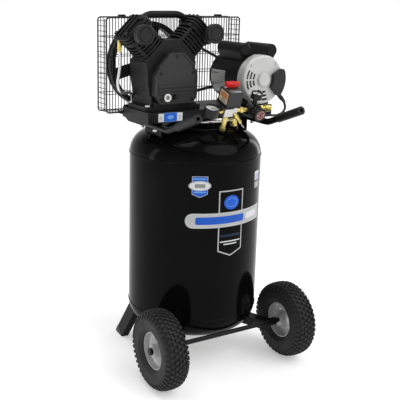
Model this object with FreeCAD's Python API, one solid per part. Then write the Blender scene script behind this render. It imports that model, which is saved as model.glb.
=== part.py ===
import FreeCAD, Part
import math
import os

# Vertical tank air compressor. Millimetres, +Z up, floor at Z = 0.
# The model is drawn about the tank axis, with the wheels towards -Y and the flywheel towards +Y,
# and every node is moved by TANK_Y on export, so that the origin is the centre of its footprint.
V = FreeCAD.Vector
X_AXIS = V(1, 0, 0)
Y_AXIS = V(0, 1, 0)
Z_AXIS = V(0, 0, 1)

# ---- driving dimensions ----
TANK_R = 228.6            # 18 inch shell
TANK_WALL = 3.2
TANK_Z0 = 186.5           # lower seam
DRAIN_DROP = 13.0            # drain valve knob below the bottom of the lower head
TANK_Z1 = 728.5           # upper seam
CROWN_R = 1.8 * TANK_R     # dished heads: crown and knuckle radii near a 2:1 ellipse
KNUCKLE_R = 0.34 * TANK_R
HEAD_H = CROWN_R - math.sqrt((CROWN_R - KNUCKLE_R) ** 2 - (TANK_R - KNUCKLE_R) ** 2)
WHEEL_R = 133.0           # 10.5 inch tyre
WHEEL_W = 86.0
WHEEL_X = 258.0
WHEEL_Y = -224.0
AXLE_R = 8.0
RUN = 0.06                # radial running clearance
GAP = 0.3                 # clearance between moving bodies
DECK_X = 245.0            # half width of the top platform
DECK_Y0 = -103.0
DECK_Y1 = 75.0
DECK_Z = 890.0
DECK_T = 3.0
DECK_H = 35.0
PUMP_X = -130.0           # crank axis
PUMP_Z = 1023.0
PUMP_Y = -5.0             # middle of the cylinders
BORE_R = 32.5
THROW = 20.0
ROD_Y = 9.0               # each rod's offset from PUMP_Y
MOTOR_X = 188.0
MOTOR_Z = 980.0
MOTOR_R = 82.5            # 56 frame
BELT_Y = 125.0
FLY_R = 145.0
FLY_PITCH = 139.0
PULLEY_R = 45.0
PULLEY_PITCH = 41.0
SHAFT_R = 7.94            # 5/8 inch motor shaft
CRANK_R = 12.5
GUARD_X0 = -297.0
GUARD_X1 = 240.0
GUARD_Z0 = 865.0
GUARD_Z1 = 1180.0
GUARD_Y0 = 97.0
GUARD_Y1 = 163.0
WIRE_R = 1.2
FRAME_R = 2.5
WIRE_PITCH = 11.0
HANDLE_X = 196.0
HANDLE_R = 11.1
GRIP_R = 14.0
HANDLE_Z = 841.0
PORT_X = 12.0             # manifold port on the top head
PORT_Y = -140.0
LEAN = 20.0               # manifold leans forward, square to the head
BEAD = 1.6                # height of the weld beads
# tank axis, behind the centre of the footprint
TANK_Y = (WHEEL_R - WHEEL_Y - TANK_R - BEAD) / 2


# ---- helpers ----
NODES = {}


def save(name, *solids):
    """Add separate solids to a node; several calls may fill one node."""
    NODES.setdefault(name, []).extend(solids)


def export_nodes():
    for name, solids in NODES.items():
        shape = solids[0].copy() if len(solids) == 1 else Part.makeCompound(solids)
        shape.translate(V(0, TANK_Y, 0))
        shape.exportStep("parts/" + name + ".step")
        print(name, len(shape.Solids), round(shape.Volume / 1000, 2), shape.isValid())


def box(x0, x1, y0, y1, z0, z1):
    return Part.makeBox(x1 - x0, y1 - y0, z1 - z0, V(x0, y0, z0))


def rod(radius, start, end, hole=0):
    start, end = V(*start), V(*end)
    along = end - start
    body = Part.makeCylinder(radius, along.Length, start, along)
    if hole:
        body = body.cut(Part.makeCylinder(hole, along.Length, start, along))
    return body


def hexagon(across, start, end):
    start, end = V(*start), V(*end)
    along = end - start
    corner = across / math.sqrt(3)
    points = [V(corner * math.cos(a), corner * math.sin(a), 0)
              for a in (math.radians(60 * i) for i in range(7))]
    prism = Part.Face(Part.makePolygon(points)).extrude(V(0, 0, along.Length))
    prism.Placement = FreeCAD.Placement(start, FreeCAD.Rotation(Z_AXIS, along))
    return prism


def torus(ring_r, wire_r, centre, axis):
    return Part.makeTorus(ring_r, wire_r, V(*centre), V(*axis))


def spin(points, centre, axis):
    """Turned solid: points are (radius, distance along axis) of a closed outline."""
    outline = Part.makePolygon([V(r, 0, h) for r, h in points + points[:1]])
    solid = Part.Face(outline).revolve(V(0, 0, 0), Z_AXIS, 360)
    solid.Placement = FreeCAD.Placement(V(*centre), FreeCAD.Rotation(Z_AXIS, V(*axis)))
    return solid


def plate_xz(points, y0, y1):
    face = Part.Face(Part.makePolygon([V(x, y0, z) for x, z in points + points[:1]]))
    return face.extrude(V(0, y1 - y0, 0))


def plate_yz(points, x0, x1):
    face = Part.Face(Part.makePolygon([V(x0, y, z) for y, z in points + points[:1]]))
    return face.extrude(V(x1 - x0, 0, 0))


def round_outline(points, radii):
    """Closed XZ outline at Y = 0 with each corner rounded by its own radius."""
    edges, ends = [], []
    count = len(points)
    for i, corner in enumerate(points):
        corner = V(corner[0], 0, corner[1])
        before = V(points[i - 1][0], 0, points[i - 1][1]) - corner
        after = V(points[(i + 1) % count][0], 0, points[(i + 1) % count][1]) - corner
        half = before.getAngle(after) / 2
        cut = radii[i] / math.tan(half)
        before.normalize()
        after.normalize()
        middle = before + after
        middle.normalize()
        centre = corner + middle * (radii[i] / math.sin(half))
        ends.append((corner + before * cut, centre - middle * radii[i], corner + after * cut))
    for i, (start, top, end) in enumerate(ends):
        edges.append(Part.Arc(start, top, end).toShape())
        edges.append(Part.LineSegment(end, ends[(i + 1) % count][0]).toShape())
    return Part.Wire(edges)


def slab(wire, y0, y1):
    wire = wire.copy()
    wire.translate(V(0, y0, 0))
    return Part.Face(wire).extrude(V(0, y1 - y0, 0))


def tube_path(points, bend=None, share=0.45):
    """Straight runs joined by tangent arcs, each using up to share of its shorter run."""
    points = [V(*p) for p in points]
    edges, radii = [], []
    last = points[0]
    for before, corner, after in zip(points, points[1:], points[2:]):
        back = before - corner
        ahead = after - corner
        half = (math.pi - back.getAngle(ahead)) / 2
        cut = share * min(back.Length, ahead.Length)
        if bend:
            cut = min(cut, bend * math.tan(half))
        radius = cut / math.tan(half)
        radii.append(round(radius, 1))
        back.normalize()
        ahead.normalize()
        middle = back + ahead
        middle.normalize()
        start = corner + back * cut
        end = corner + ahead * cut
        top = corner + middle * (radius / math.cos(half) - radius)
        edges.append(Part.LineSegment(last, start).toShape())
        edges.append(Part.Arc(start, top, end).toShape())
        last = end
    edges.append(Part.LineSegment(last, points[-1]).toShape())
    return Part.Wire(edges), radii


def tube(points, radius, hole=0, bend=None, share=0.45):
    path, radii = tube_path(points, bend, share)
    start = V(*points[0])
    along = V(*points[1]) - start

    def sweep(r):
        circle = Part.Wire([Part.makeCircle(r, start, along)])
        return path.makePipeShell([circle], True, False)

    body = sweep(radius)
    if hole:
        body = body.cut(sweep(hole))
    area = math.pi * (radius ** 2 - hole ** 2)
    print("  tube radii", radii, "volume ratio", round(body.Volume / (area * path.Length), 4))
    return body


def ring_of(count, radius, centre, axis, make):
    """count copies of make(point) on a circle about axis through centre."""
    turn = FreeCAD.Rotation(Z_AXIS, V(*axis))
    spots = []
    for i in range(count):
        angle = 2 * math.pi * i / count + math.pi / 4
        spots.append(V(*centre) + turn.multVec(V(radius * math.cos(angle), radius * math.sin(angle), 0)))
    return [make(spot) for spot in spots]


# ---- tank ----
def head_arcs(wall):
    """Crown and knuckle arcs of the dished head, drawn in by wall; returns top, side and edges."""
    crown_r, knuckle_r = CROWN_R - wall, KNUCKLE_R - wall
    crown_at = V(0, 0, HEAD_H - CROWN_R)
    knuckle_at = V(TANK_R - KNUCKLE_R, 0, 0)
    toward = (knuckle_at - crown_at).normalize()
    join = knuckle_at + toward * knuckle_r
    half_crown = (toward + Z_AXIS).normalize()
    half_knuckle = (toward + X_AXIS).normalize()
    top = V(0, 0, HEAD_H - wall)
    side = V(TANK_R - wall, 0, 0)
    crown = Part.Arc(top, crown_at + half_crown * crown_r, join).toShape()
    knuckle = Part.Arc(join, knuckle_at + half_knuckle * knuckle_r, side).toShape()
    return top, side, [crown, knuckle]


def head_solid(z_seam, up, hollow=False):
    """Dished head standing on the seam plane, solid or as a shell of the tank's wall."""
    top, side, edges = head_arcs(0)
    if hollow:
        inner_top, inner_side, inner_edges = head_arcs(TANK_WALL)
        edges += inner_edges
    else:
        inner_top = inner_side = V(0, 0, 0)
    edges += [Part.LineSegment(top, inner_top).toShape(), Part.LineSegment(inner_side, side).toShape()]
    outline = Part.Wire(Part.__sortEdges__(edges))
    solid = Part.Face(outline).revolve(V(0, 0, 0), Z_AXIS, 360)
    if not up:
        solid.rotate(V(0, 0, 0), X_AXIS, 180)
    solid.translate(V(0, 0, z_seam))
    return solid


def dome_z(x, y):
    """Height of the top head's outer face."""
    reach = math.hypot(x, y)
    if reach < (TANK_R - KNUCKLE_R) * CROWN_R / (CROWN_R - KNUCKLE_R):
        return TANK_Z1 + HEAD_H - CROWN_R + math.sqrt(CROWN_R ** 2 - reach ** 2)
    return TANK_Z1 + math.sqrt(KNUCKLE_R ** 2 - (reach - TANK_R + KNUCKLE_R) ** 2)


def tank_envelope():
    body = rod(TANK_R, (0, 0, TANK_Z0), (0, 0, TANK_Z1))
    top = head_solid(TANK_Z1, True)
    bottom = head_solid(TANK_Z0, False)
    return body.fuse(top).fuse(bottom)


PORT = V(PORT_X, PORT_Y, dome_z(PORT_X, PORT_Y))
LEAN_ROT = FreeCAD.Rotation(X_AXIS, LEAN)
LEAN_DIR = LEAN_ROT.multVec(Z_AXIS)
CHECK_X = 88.0
CHECK_Y = -100.0


def build_tank():
    inner_r = TANK_R - TANK_WALL
    shell = rod(TANK_R, (0, 0, TANK_Z0), (0, 0, TANK_Z1), hole=inner_r)
    save("tank_shell", shell)
    check_z = dome_z(CHECK_X, CHECK_Y)
    port_span = (PORT - LEAN_DIR * 12, PORT + LEAN_DIR * 6)
    check_span = ((CHECK_X, CHECK_Y, check_z - 14), (CHECK_X, CHECK_Y, check_z + 6))
    bungs = [rod(17, *port_span, hole=9), rod(15, *check_span, hole=9)]
    top = head_solid(TANK_Z1, True, hollow=True)
    top = top.cut(rod(17, *port_span)).cut(rod(15, *check_span))
    save("tank_heads", top)
    drain_z = TANK_Z0 - HEAD_H
    knob_z = drain_z - DRAIN_DROP
    drain = rod(14, (0, 0, drain_z - 5), (0, 0, drain_z + 8), hole=6.6)
    bottom = head_solid(TANK_Z0, False, hollow=True)
    bottom = bottom.cut(rod(14, (0, 0, drain_z - 5), (0, 0, drain_z + 8)))
    save("tank_heads", bottom)
    save("tank_ports", *(bungs + [drain]))
    beads = []
    for z in (TANK_Z0, TANK_Z1):
        bead = rod(TANK_R + BEAD, (0, 0, z - 3), (0, 0, z + 3), hole=TANK_R)
        beads.append(bead.makeChamfer(1.2, [e for e in bead.Edges if e.BoundBox.XLength > 2 * TANK_R + 2]))
    save("tank_ports", *beads)
    valve = rod(6.6, (0, 0, drain_z - 6), (0, 0, drain_z + 6), hole=2)
    valve = valve.fuse(hexagon(16, (0, 0, drain_z - 18), (0, 0, drain_z - 6)))
    valve = valve.fuse(rod(4.5, (0, -7, knob_z), (0, -17, knob_z)))
    save("brass_fittings", valve.cut(rod(2, (0, 0, drain_z - 20), (0, 0, drain_z))))
    knob = rod(8, (0, -17.4, knob_z), (0, -25, knob_z))
    wing = box(-11, 11, -33, -25, knob_z - 1.5, knob_z + 1.5)
    save("drain_valve_knob", knob.fuse(wing))


# ---- legs, axle and wheels ----
def channel(start, end, width, depth, wall, up):
    """Folded channel between two points, open side away from up."""
    start, end = V(*start), V(*end)
    length = (end - start).Length
    outer = box(-width / 2, width / 2, -depth, 0, 0, length)
    inner = box(-width / 2 + wall, width / 2 - wall, -depth - 1, -wall, -1, length + 1)
    bar = outer.cut(inner)
    along = (end - start).normalize()
    side = V(*up).cross(along).normalize()
    normal = along.cross(side)
    matrix = FreeCAD.Matrix(side.x, normal.x, along.x, start.x, side.y, normal.y, along.y, start.y,
                            side.z, normal.z, along.z, start.z, 0, 0, 0, 1)
    bar.Placement = FreeCAD.Placement(matrix)
    return bar


def build_undercarriage():
    envelope = tank_envelope()
    pads = []
    for side in (-1, 1):
        top = (side * 186, 92, 165)
        foot = (side * 199, 185, 13)
        outward = V(side, 0.1, 0.1)
        leg = channel(top, foot, 52, 26, 3, outward).cut(envelope)
        save("tank_brackets", leg)
        along = (V(*foot) - V(*top)).normalize()
        cap = channel(V(*foot), V(*foot) + along * 26, 56, 30, 14.9, outward)
        pads.append(cap.cut(box(-400, 400, -400, 400, -60, 0)))
        arm_in = (side * 130, -128, 146)
        arm_out = (side * 203, -212, 128)
        arm = channel(arm_in, arm_out, 44, 30, 4, (0, 0, 1)).cut(envelope)
        boss = rod(14, (side * 188, WHEEL_Y, WHEEL_R), (side * 212, WHEEL_Y, WHEEL_R))
        arm = arm.fuse(boss).cut(rod(AXLE_R, (-320, WHEEL_Y, WHEEL_R), (320, WHEEL_Y, WHEEL_R)))
        save("axle_arms", max(arm.cut(envelope).Solids, key=lambda s: s.Volume))
    save("rear_foot_pads", *pads)
    save("axle", rod(AXLE_R, (-299, WHEEL_Y, WHEEL_R), (299, WHEEL_Y, WHEEL_R)))


def build_wheels():
    bead_r = 62.0
    hub_r = 17.0
    half = WHEEL_W / 2
    rim_half = 27.0
    hardware = []
    for side, name in ((-1, "left"), (1, "right")):
        centre = (side * WHEEL_X, WHEEL_Y, WHEEL_R)
        axis = (1, 0, 0)
        section = [(bead_r, -rim_half), (bead_r + 8, -rim_half - 7), (92, -half), (112, -half + 2),
                   (128, -half + 14), (WHEEL_R, -half + 28), (WHEEL_R, half - 28), (128, half - 14),
                   (112, half - 2), (92, half), (bead_r + 8, rim_half + 7), (bead_r, rim_half),
                   (bead_r, rim_half - 12), (90, rim_half - 4), (112, 12), (112, -12),
                   (90, -rim_half + 4), (bead_r, -rim_half + 12)]
        save(name + "_tyre", spin(section, centre, axis))
        barrel = [(bead_r - 3, -rim_half), (bead_r, -rim_half), (bead_r, rim_half), (bead_r - 3, rim_half),
                  (bead_r - 3, 8), (bead_r - 14, 3), (30, 3), (22, 10), (hub_r + 3, 30), (hub_r, 30),
                  (hub_r, -30), (hub_r + 3, -30), (22, -10), (30, -3), (bead_r - 14, -3), (bead_r - 3, -8)]
        rim = spin(barrel, centre, axis)
        stem = rod(3, (side * WHEEL_X + side * 1, WHEEL_Y, WHEEL_R + 50),
                   (side * WHEEL_X + side * 24, WHEEL_Y, WHEEL_R + 46))
        holes = [rod(5.2, (spot.x - 8, spot.y, spot.z), (spot.x + 8, spot.y, spot.z))
                 for spot in ring_of(4, 38, centre, axis, lambda s: s)]
        for hole in holes:
            rim = rim.cut(hole)
        save(name + "_rim", rim.cut(stem))
        save(name + "_rim", stem)
        bearings = []
        for end in (-1, 1):
            mid = side * WHEEL_X + end * 24
            bearings.append(rod(hub_r, (mid - 6, WHEEL_Y, WHEEL_R), (mid + 6, WHEEL_Y, WHEEL_R),
                                hole=AXLE_R + RUN))
        save(name + "_rim", *bearings)
        start = side * (WHEEL_X + 31)
        washer = rod(13, (start, WHEEL_Y, WHEEL_R), (start + side * 2.5, WHEEL_Y, WHEEL_R), hole=AXLE_R)
        collar = rod(12.5, (start + side * 3, WHEEL_Y, WHEEL_R), (start + side * 9, WHEEL_Y, WHEEL_R),
                     hole=AXLE_R)
        hardware += [washer, collar]
    save("axle", *hardware)


# ---- platform and handles ----
HANDLE_BOLT_Y = (-60.0, 25.0)


def handle_route(side):
    x = side * HANDLE_X
    return [(x, 60, HANDLE_Z), (x, -150, HANDLE_Z - 3), (x, -316, 901)]


def build_platform():
    deck = box(-DECK_X, DECK_X, DECK_Y0, DECK_Y1, DECK_Z - DECK_H, DECK_Z)
    hollow = box(-DECK_X + DECK_T, DECK_X - DECK_T, DECK_Y0 + DECK_T, DECK_Y1 - DECK_T,
                 DECK_Z - DECK_H - 1, DECK_Z - DECK_T)
    deck = deck.cut(hollow)
    cheek = [(DECK_Y0 + 30, DECK_Z - DECK_H), (DECK_Y0 + 45, 845), (35, 845), (58, DECK_Z - DECK_H)]
    for x0 in (-DECK_X, DECK_X - DECK_T):
        deck = deck.fuse(plate_yz(cheek, x0, x0 + DECK_T))
    studs = []
    for side in (-1, 1):
        route = handle_route(side)
        drop = [rod(4, (side * HANDLE_X, y, 820), (side * HANDLE_X, y, 900)) for y in HANDLE_BOLT_Y]
        handle = tube(route, HANDLE_R, hole=8.6, bend=90)
        for hole in drop:
            handle = handle.cut(hole)
        save("handle_tubes", handle)
        low, end = V(*route[1]), V(*route[2])
        along = (end - low).normalize()
        grip = rod(GRIP_R, end - along * 118, end + along * 3, hole=HANDLE_R)
        grip = grip.fuse(rod(GRIP_R, end, end + along * 3, hole=6))
        save("handle_grips", grip)
        for y in HANDLE_BOLT_Y:
            x = side * HANDLE_X
            under = HANDLE_Z - HANDLE_R - 2.5
            stud = rod(4, (x, y, under - 6), (x, y, DECK_Z - DECK_T))
            studs.append(stud.fuse(hexagon(13, (x, y, under - 6), (x, y, under))))
        web = box(168, 173, -62, 48, 740, DECK_Z - DECK_T)
        flange = box(145, 168, -62, 48, DECK_Z - DECK_T - 5, DECK_Z - DECK_T)
        saddle = web.fuse(flange).cut(tank_envelope())
        if side < 0:
            saddle = saddle.mirror(V(0, 0, 0), X_AXIS)
        save("tank_brackets", saddle)
    for x, y in PUMP_BOLTS:
        deck = deck.cut(rod(4, (x, y, 870), (x, y, 900)))
    for x, y in MOTOR_BOLTS:
        deck = deck.cut(rod(4, (x, y, 870), (x, y, 900)))
    save("top_platform", deck)
    save("platform_bolts", *studs)


# ---- pump ----
PUMP_BOLTS = [(PUMP_X + dx, y) for dx in (-93, 93) for y in (-57, 52)]
MOTOR_BOLTS = [(MOTOR_X + dx, y) for dx in (-50, 50) for y in (-62, 48)]
CASE_OUTLINE = [(-21, 92), (21, 92), (92, 21), (88, -45), (76, -112), (-76, -112), (-88, -45), (-92, 21)]
CASE_ROUND = [6, 6, 10, 20, 18, 18, 20, 10]
COVER_OUTLINE = [(-24, 53), (24, 53), (62, 16), (77, -18), (77, -84),
                 (64, -110), (-64, -110), (-77, -84), (-77, -18), (-62, 16)]
COVER_ROUND = [26, 26, 24, 16, 14, 12, 12, 14, 16, 24]
COVER_Y = -78.0           # face that the front cover closes
CASE_Y0 = -50.0
CASE_WALL = 8.0
CASE_Y1 = 70.0
FIN_HALF = 55.0


def case_wire(inset):
    """Crankcase outline on the crank axis, drawn in by inset on every side."""
    wire = round_outline([(PUMP_X + x, PUMP_Z + z) for x, z in CASE_OUTLINE], CASE_ROUND)
    return wire.makeOffset2D(-inset) if inset else wire


def cover_wire(inset):
    wire = round_outline([(PUMP_X + x, PUMP_Z + z) for x, z in COVER_OUTLINE], COVER_ROUND)
    return wire.makeOffset2D(-inset) if inset else wire


def bank(side, shape):
    """Turn a shape drawn upright about the crank axis to its cylinder bank."""
    shape = shape.copy()
    shape.rotate(V(PUMP_X, 0, PUMP_Z), Y_AXIS, 45 * side)
    return shape


def upright(radius, r0, r1, y=PUMP_Y, hole=0):
    return rod(radius, (PUMP_X, y, PUMP_Z + r0), (PUMP_X, y, PUMP_Z + r1), hole=hole)


def fin(half, r0, r1, corner):
    block = box(PUMP_X - half, PUMP_X + half, PUMP_Y - half, PUMP_Y + half, PUMP_Z + r0, PUMP_Z + r1)
    upright_edges = [e for e in block.Edges if e.BoundBox.ZLength > r1 - r0 - 0.01 and
                     e.BoundBox.XLength < 0.01 and e.BoundBox.YLength < 0.01]
    return block.makeFillet(corner, upright_edges)


def build_crankcase():
    case = slab(case_wire(0), CASE_Y0, CASE_Y1).fuse(slab(cover_wire(0), COVER_Y, CASE_Y0 + 1))
    foot = box(PUMP_X - 105, PUMP_X + 105, -69, 64, DECK_Z, DECK_Z + 13)
    foot = foot.makeFillet(12, [e for e in foot.Edges if e.BoundBox.ZLength > 12.9])
    neck = box(PUMP_X - 76, PUMP_X + 76, -69, 64, DECK_Z + 10, PUMP_Z - 105)
    ribs = [box(PUMP_X + x - 3, PUMP_X + x + 3, -60, 55, DECK_Z + 12, DECK_Z + 46) for x in (-78, 78)]
    case = case.fuse([foot, neck] + ribs)
    case = case.cut(slab(case_wire(CASE_WALL), CASE_Y0 + CASE_WALL, 56))
    case = case.cut(slab(cover_wire(CASE_WALL), COVER_Y - 1, CASE_Y0 + CASE_WALL + 1))
    for side in (-1, 1):
        case = case.cut(bank(side, upright(BORE_R + 4, 40, 110)))
        case = case.cut(bank(side, box(PUMP_X - 60, PUMP_X + 60, -90, 90, PUMP_Z + 80, PUMP_Z + 130)))
    case = case.cut(rod(26, (PUMP_X, 50, PUMP_Z), (PUMP_X, 80, PUMP_Z)))
    for x, y in PUMP_BOLTS:
        case = case.cut(rod(4, (x, y, 880), (x, y, 910)))
    save("crankcase", max(case.Solids, key=lambda s: s.Volume))
    sight_x = PUMP_X - 38
    plug_x = PUMP_X - 6
    port_z = 934.0
    cover = slab(cover_wire(0), COVER_Y - 6, COVER_Y)
    border = slab(cover_wire(0), COVER_Y - 9, COVER_Y - 6).cut(slab(cover_wire(5), COVER_Y - 10, COVER_Y - 5))
    cover = cover.fuse(border)
    for i in range(3):
        z = PUMP_Z - 53 - 12 * i
        reach = 70 - 3 * i
        cover = cover.fuse(box(PUMP_X - reach, PUMP_X + reach, COVER_Y - 10, COVER_Y - 6, z - 2.5, z + 2.5))
    for x, r in ((sight_x, 10), (plug_x, 8)):
        cover = cover.cut(rod(r, (x, -100, port_z), (x, -70, port_z)))
    screws = []
    for x, z in ((0, 40), (60, -12), (-60, -12), (58, -97), (-58, -97)):
        spot = (PUMP_X + x, COVER_Y - 6, PUMP_Z + z)
        shank = rod(3, (spot[0], COVER_Y, spot[2]), spot)
        cover = cover.cut(shank)
        screws.append(shank.fuse(rod(4.5, spot, (spot[0], COVER_Y - 8, spot[2]))))
    save("crankcase_cover", cover)
    save("pump_screws", *screws)
    bezel = rod(10, (sight_x, COVER_Y, port_z), (sight_x, COVER_Y - 6, port_z), hole=7)
    bezel = bezel.fuse(rod(13, (sight_x, COVER_Y - 6 - 4, port_z), (sight_x, COVER_Y - 15, port_z), hole=7))
    bezel = bezel.fuse(rod(10, (sight_x, COVER_Y - 6, port_z), (sight_x, COVER_Y - 10, port_z), hole=7))
    save("sight_glass", bezel)
    save("sight_glass", rod(7, (sight_x, COVER_Y - 1, port_z), (sight_x, COVER_Y - 13, port_z)))
    plug = rod(8, (plug_x, COVER_Y, port_z), (plug_x, COVER_Y - 10, port_z))
    plug_head = hexagon(15, (plug_x, COVER_Y - 10, port_z), (plug_x, COVER_Y - 18, port_z))
    save("pump_screws", plug.fuse(plug_head))
    bolts = [rod(4, (x, y, DECK_Z - 12), (x, y, DECK_Z + 13)).fuse(
        hexagon(14, (x, y, DECK_Z + 13), (x, y, DECK_Z + 19))) for x, y in PUMP_BOLTS]
    save("platform_bolts", *bolts)


def build_cylinders():
    bolts = []
    for side, name in ((-1, "left"), (1, "right")):
        barrel = upright(BORE_R + 9, 84, 150)
        barrel = barrel.fuse(fin(46, 80, 88, 10))
        for i in range(4):
            barrel = barrel.fuse(fin(50, 94 + 12 * i, 98.5 + 12 * i, 36))
        barrel = barrel.fuse(fin(50, 145, 150, 30))
        corners = [(dx, dy) for dx in (-35, 35) for dy in (-35, 35)]
        for dx, dy in corners:
            x, y = PUMP_X + dx, PUMP_Y + dy
            barrel = barrel.fuse(rod(6, (x, y, PUMP_Z + 88), (x, y, PUMP_Z + 150)))
        barrel = barrel.cut(upright(BORE_R, 70, 160))
        save(name + "_cylinder", bank(side, barrel))
        save(name + "_cylinder", bank(side, fin(50, 150, 156, 24)))
        head = fin(48, 156, 188, 18)
        for i in range(3):
            head = head.fuse(fin(FIN_HALF, 158 + 11 * i, 163 + 11 * i, 24))
        for y in (-24, 0, 24):
            head = head.fuse(box(PUMP_X - 46, PUMP_X + 46, PUMP_Y + y - 3, PUMP_Y + y + 3,
                                 PUMP_Z + 186, PUMP_Z + 197))
        heads_cut = fin(38, 164, 180, 8)
        head = head.cut(heads_cut)
        for dx, dy in corners:
            x, y = PUMP_X + dx, PUMP_Y + dy
            head = head.cut(rod(9.5, (x, y, PUMP_Z + 188), (x, y, PUMP_Z + 200)))
            bolts.append(bank(side, hexagon(13, (x, y, PUMP_Z + 188), (x, y, PUMP_Z + 196))))
        head = bank(side, head)
        head = head.cut(filter_neck(side))
        head = head.cut(crossover_bore(side))
        if side < 0:
            head = head.cut(DISCHARGE_BORE)
        save(name + "_cylinder_head", head)
        save("intake_filters", filter_solid(side))
    save("pump_screws", *bolts)


FILTER_Z = 1135.0
FILTER_DX = 129.5
FILTER_R = 32.0


def filter_neck(side):
    x = PUMP_X + side * FILTER_DX
    return rod(11, (x, -79, FILTER_Z), (x, PUMP_Y - 47, FILTER_Z))


def filter_solid(side):
    x = PUMP_X + side * FILTER_DX
    outline = [(11, 0), (11, 27), (28, 31), (31, 35), (31, 41), (29, 43), (29, 49), (FILTER_R, 51),
               (FILTER_R, 57), (30, 59), (24, 59), (22, 57), (20, 59), (10, 60), (0, 60), (0, 0)]
    return spin(outline, (x, PUMP_Y - 47, FILTER_Z), (0, -1, 0))


CROSSOVER_Z = 1194.0


def crossover_points():
    """Route of the crossover: square out of each head's inner face, then level between them."""
    out = 168 / math.sqrt(2)
    inward = 48 / math.sqrt(2)
    foot_z = PUMP_Z + out + inward
    foot = out - inward
    knee = foot - (CROSSOVER_Z - foot_z)
    y = PUMP_Y + 15
    return [(PUMP_X - foot, y, foot_z), (PUMP_X - knee, y, CROSSOVER_Z),
            (PUMP_X + knee, y, CROSSOVER_Z), (PUMP_X + foot, y, foot_z)]


def crossover_end(side):
    """Foot of the crossover at a head, and the unit vector into the head."""
    route = crossover_points()
    foot, knee = (route[0], route[1]) if side < 0 else (route[3], route[2])
    return V(*foot), (V(*foot) - V(*knee)).normalize()


def crossover_bore(side):
    foot, inside = crossover_end(side)
    return rod(11, foot - inside * 14, foot + inside * 9)


DISCHARGE_TOP = (-286.0, 18.0, 1093.0)
DISCHARGE_BORE = rod(7, (*DISCHARGE_TOP[:2], 1070), (*DISCHARGE_TOP[:2], 1118))
DISCHARGE_ROUTE = [(-286, 18, 1076), (-283, 18, 1040), (-288, 17, 1005), (-294, 17, 975), (-286, 20, 947),
                   (-258, 28, 940), (-228, 52, 938), (-206, 84, 922), (-201, 87, 888), (-188, 86, 850),
                   (-150, 50, 843), (-105, 5, 850), (-70, -52, 852), (-38, -97, 845), (20, -101, 844),
                   (70, -100, 847)]
DISCHARGE_R = 4.8


def build_pipes():
    crossover = tube(crossover_points(), 11, hole=8.5, share=0.98)
    feet = []
    for side in (-1, 1):
        foot, inside = crossover_end(side)
        feet.append(rod(11, foot, foot + inside * 9, hole=8.5))
    save("crossover_tube", crossover.fuse(feet))
    x, y, z = DISCHARGE_TOP
    fitting = rod(7, (x, y, z - 3), (x, y, z + 25), hole=3.6)
    fitting = fitting.fuse(hexagon(15, (x, y, z - 9), (x, y, z - 3)))
    fitting = fitting.fuse(hexagon(14, (x, y, z - 17), (x, y, z - 10))).fuse(rod(6, (x, y, z - 12), (x, y, z - 6)))
    save("brass_fittings", fitting.cut(rod(3.6, (x, y, z - 20), (x, y, z + 20))))
    save("discharge_tube", tube(DISCHARGE_ROUTE, DISCHARGE_R, hole=3.6))
    z0 = dome_z(CHECK_X, CHECK_Y)
    valve = rod(9, (CHECK_X, CHECK_Y, z0 - 12), (CHECK_X, CHECK_Y, z0 + 6))
    valve = valve.fuse(hexagon(24, (CHECK_X, CHECK_Y, z0 + 6), (CHECK_X, CHECK_Y, z0 + 14)))
    valve = valve.fuse(rod(11, (CHECK_X, CHECK_Y, z0 + 14), (CHECK_X, CHECK_Y, z0 + 31)))
    valve = valve.fuse(rod(7.5, (CHECK_X, CHECK_Y, 847), (70, -100, 847)))
    valve = valve.cut(rod(4.8, (80, CHECK_Y, 847), (69, CHECK_Y, 847)))
    save("brass_fittings", valve)


def build_crank():
    shaft = rod(CRANK_R, (PUMP_X, 32, PUMP_Z), (PUMP_X, 143, PUMP_Z))
    shaft = shaft.fuse(rod(15, (PUMP_X, 24, PUMP_Z), (PUMP_X, 33, PUMP_Z)))
    web = rod(30, (PUMP_X, 12, PUMP_Z), (PUMP_X, 25, PUMP_Z))
    pin = rod(8, (PUMP_X, PUMP_Y - 18, PUMP_Z + THROW), (PUMP_X, 13, PUMP_Z + THROW))
    shaft = shaft.fuse([web, pin])
    save("crankshaft", shaft)
    bearing = rod(26, (PUMP_X, 56, PUMP_Z), (PUMP_X, 70, PUMP_Z), hole=CRANK_R + RUN)
    save("shaft_bearings", bearing)
    y0, y1 = 105.0, 140.0
    hub = rod(30, (PUMP_X, y0 + 2, PUMP_Z), (PUMP_X, y1 - 4, PUMP_Z))
    rim = rod(FLY_R, (PUMP_X, y0, PUMP_Z), (PUMP_X, y1, PUMP_Z), hole=FLY_R - 17)
    blades = []
    for i in range(6):
        blade = box(-20, 20, -2.5, 2.5, 24, FLY_R - 14)
        blade.rotate(V(0, 0, 0), Z_AXIS, 22)
        blade.translate(V(PUMP_X, (y0 + y1) / 2, PUMP_Z))
        blade.rotate(V(PUMP_X, 0, PUMP_Z), Y_AXIS, 60 * i + 15)
        blades.append(blade)
    wheel = rim.fuse([hub] + blades)
    groove = rod(FLY_R + 1, (PUMP_X, BELT_Y - 7, PUMP_Z), (PUMP_X, BELT_Y + 7, PUMP_Z), hole=FLY_PITCH - 6)
    wheel = wheel.cut(groove).cut(rod(CRANK_R, (PUMP_X, 100, PUMP_Z), (PUMP_X, 143, PUMP_Z)))
    save("flywheel", max(wheel.Solids, key=lambda s: s.Volume))
    nut = hexagon(22, (PUMP_X, y1 - 4, PUMP_Z), (PUMP_X, y1 + 6, PUMP_Z))
    save("crankshaft", nut.cut(rod(CRANK_R, (PUMP_X, 120, PUMP_Z), (PUMP_X, 143, PUMP_Z))))


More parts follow.
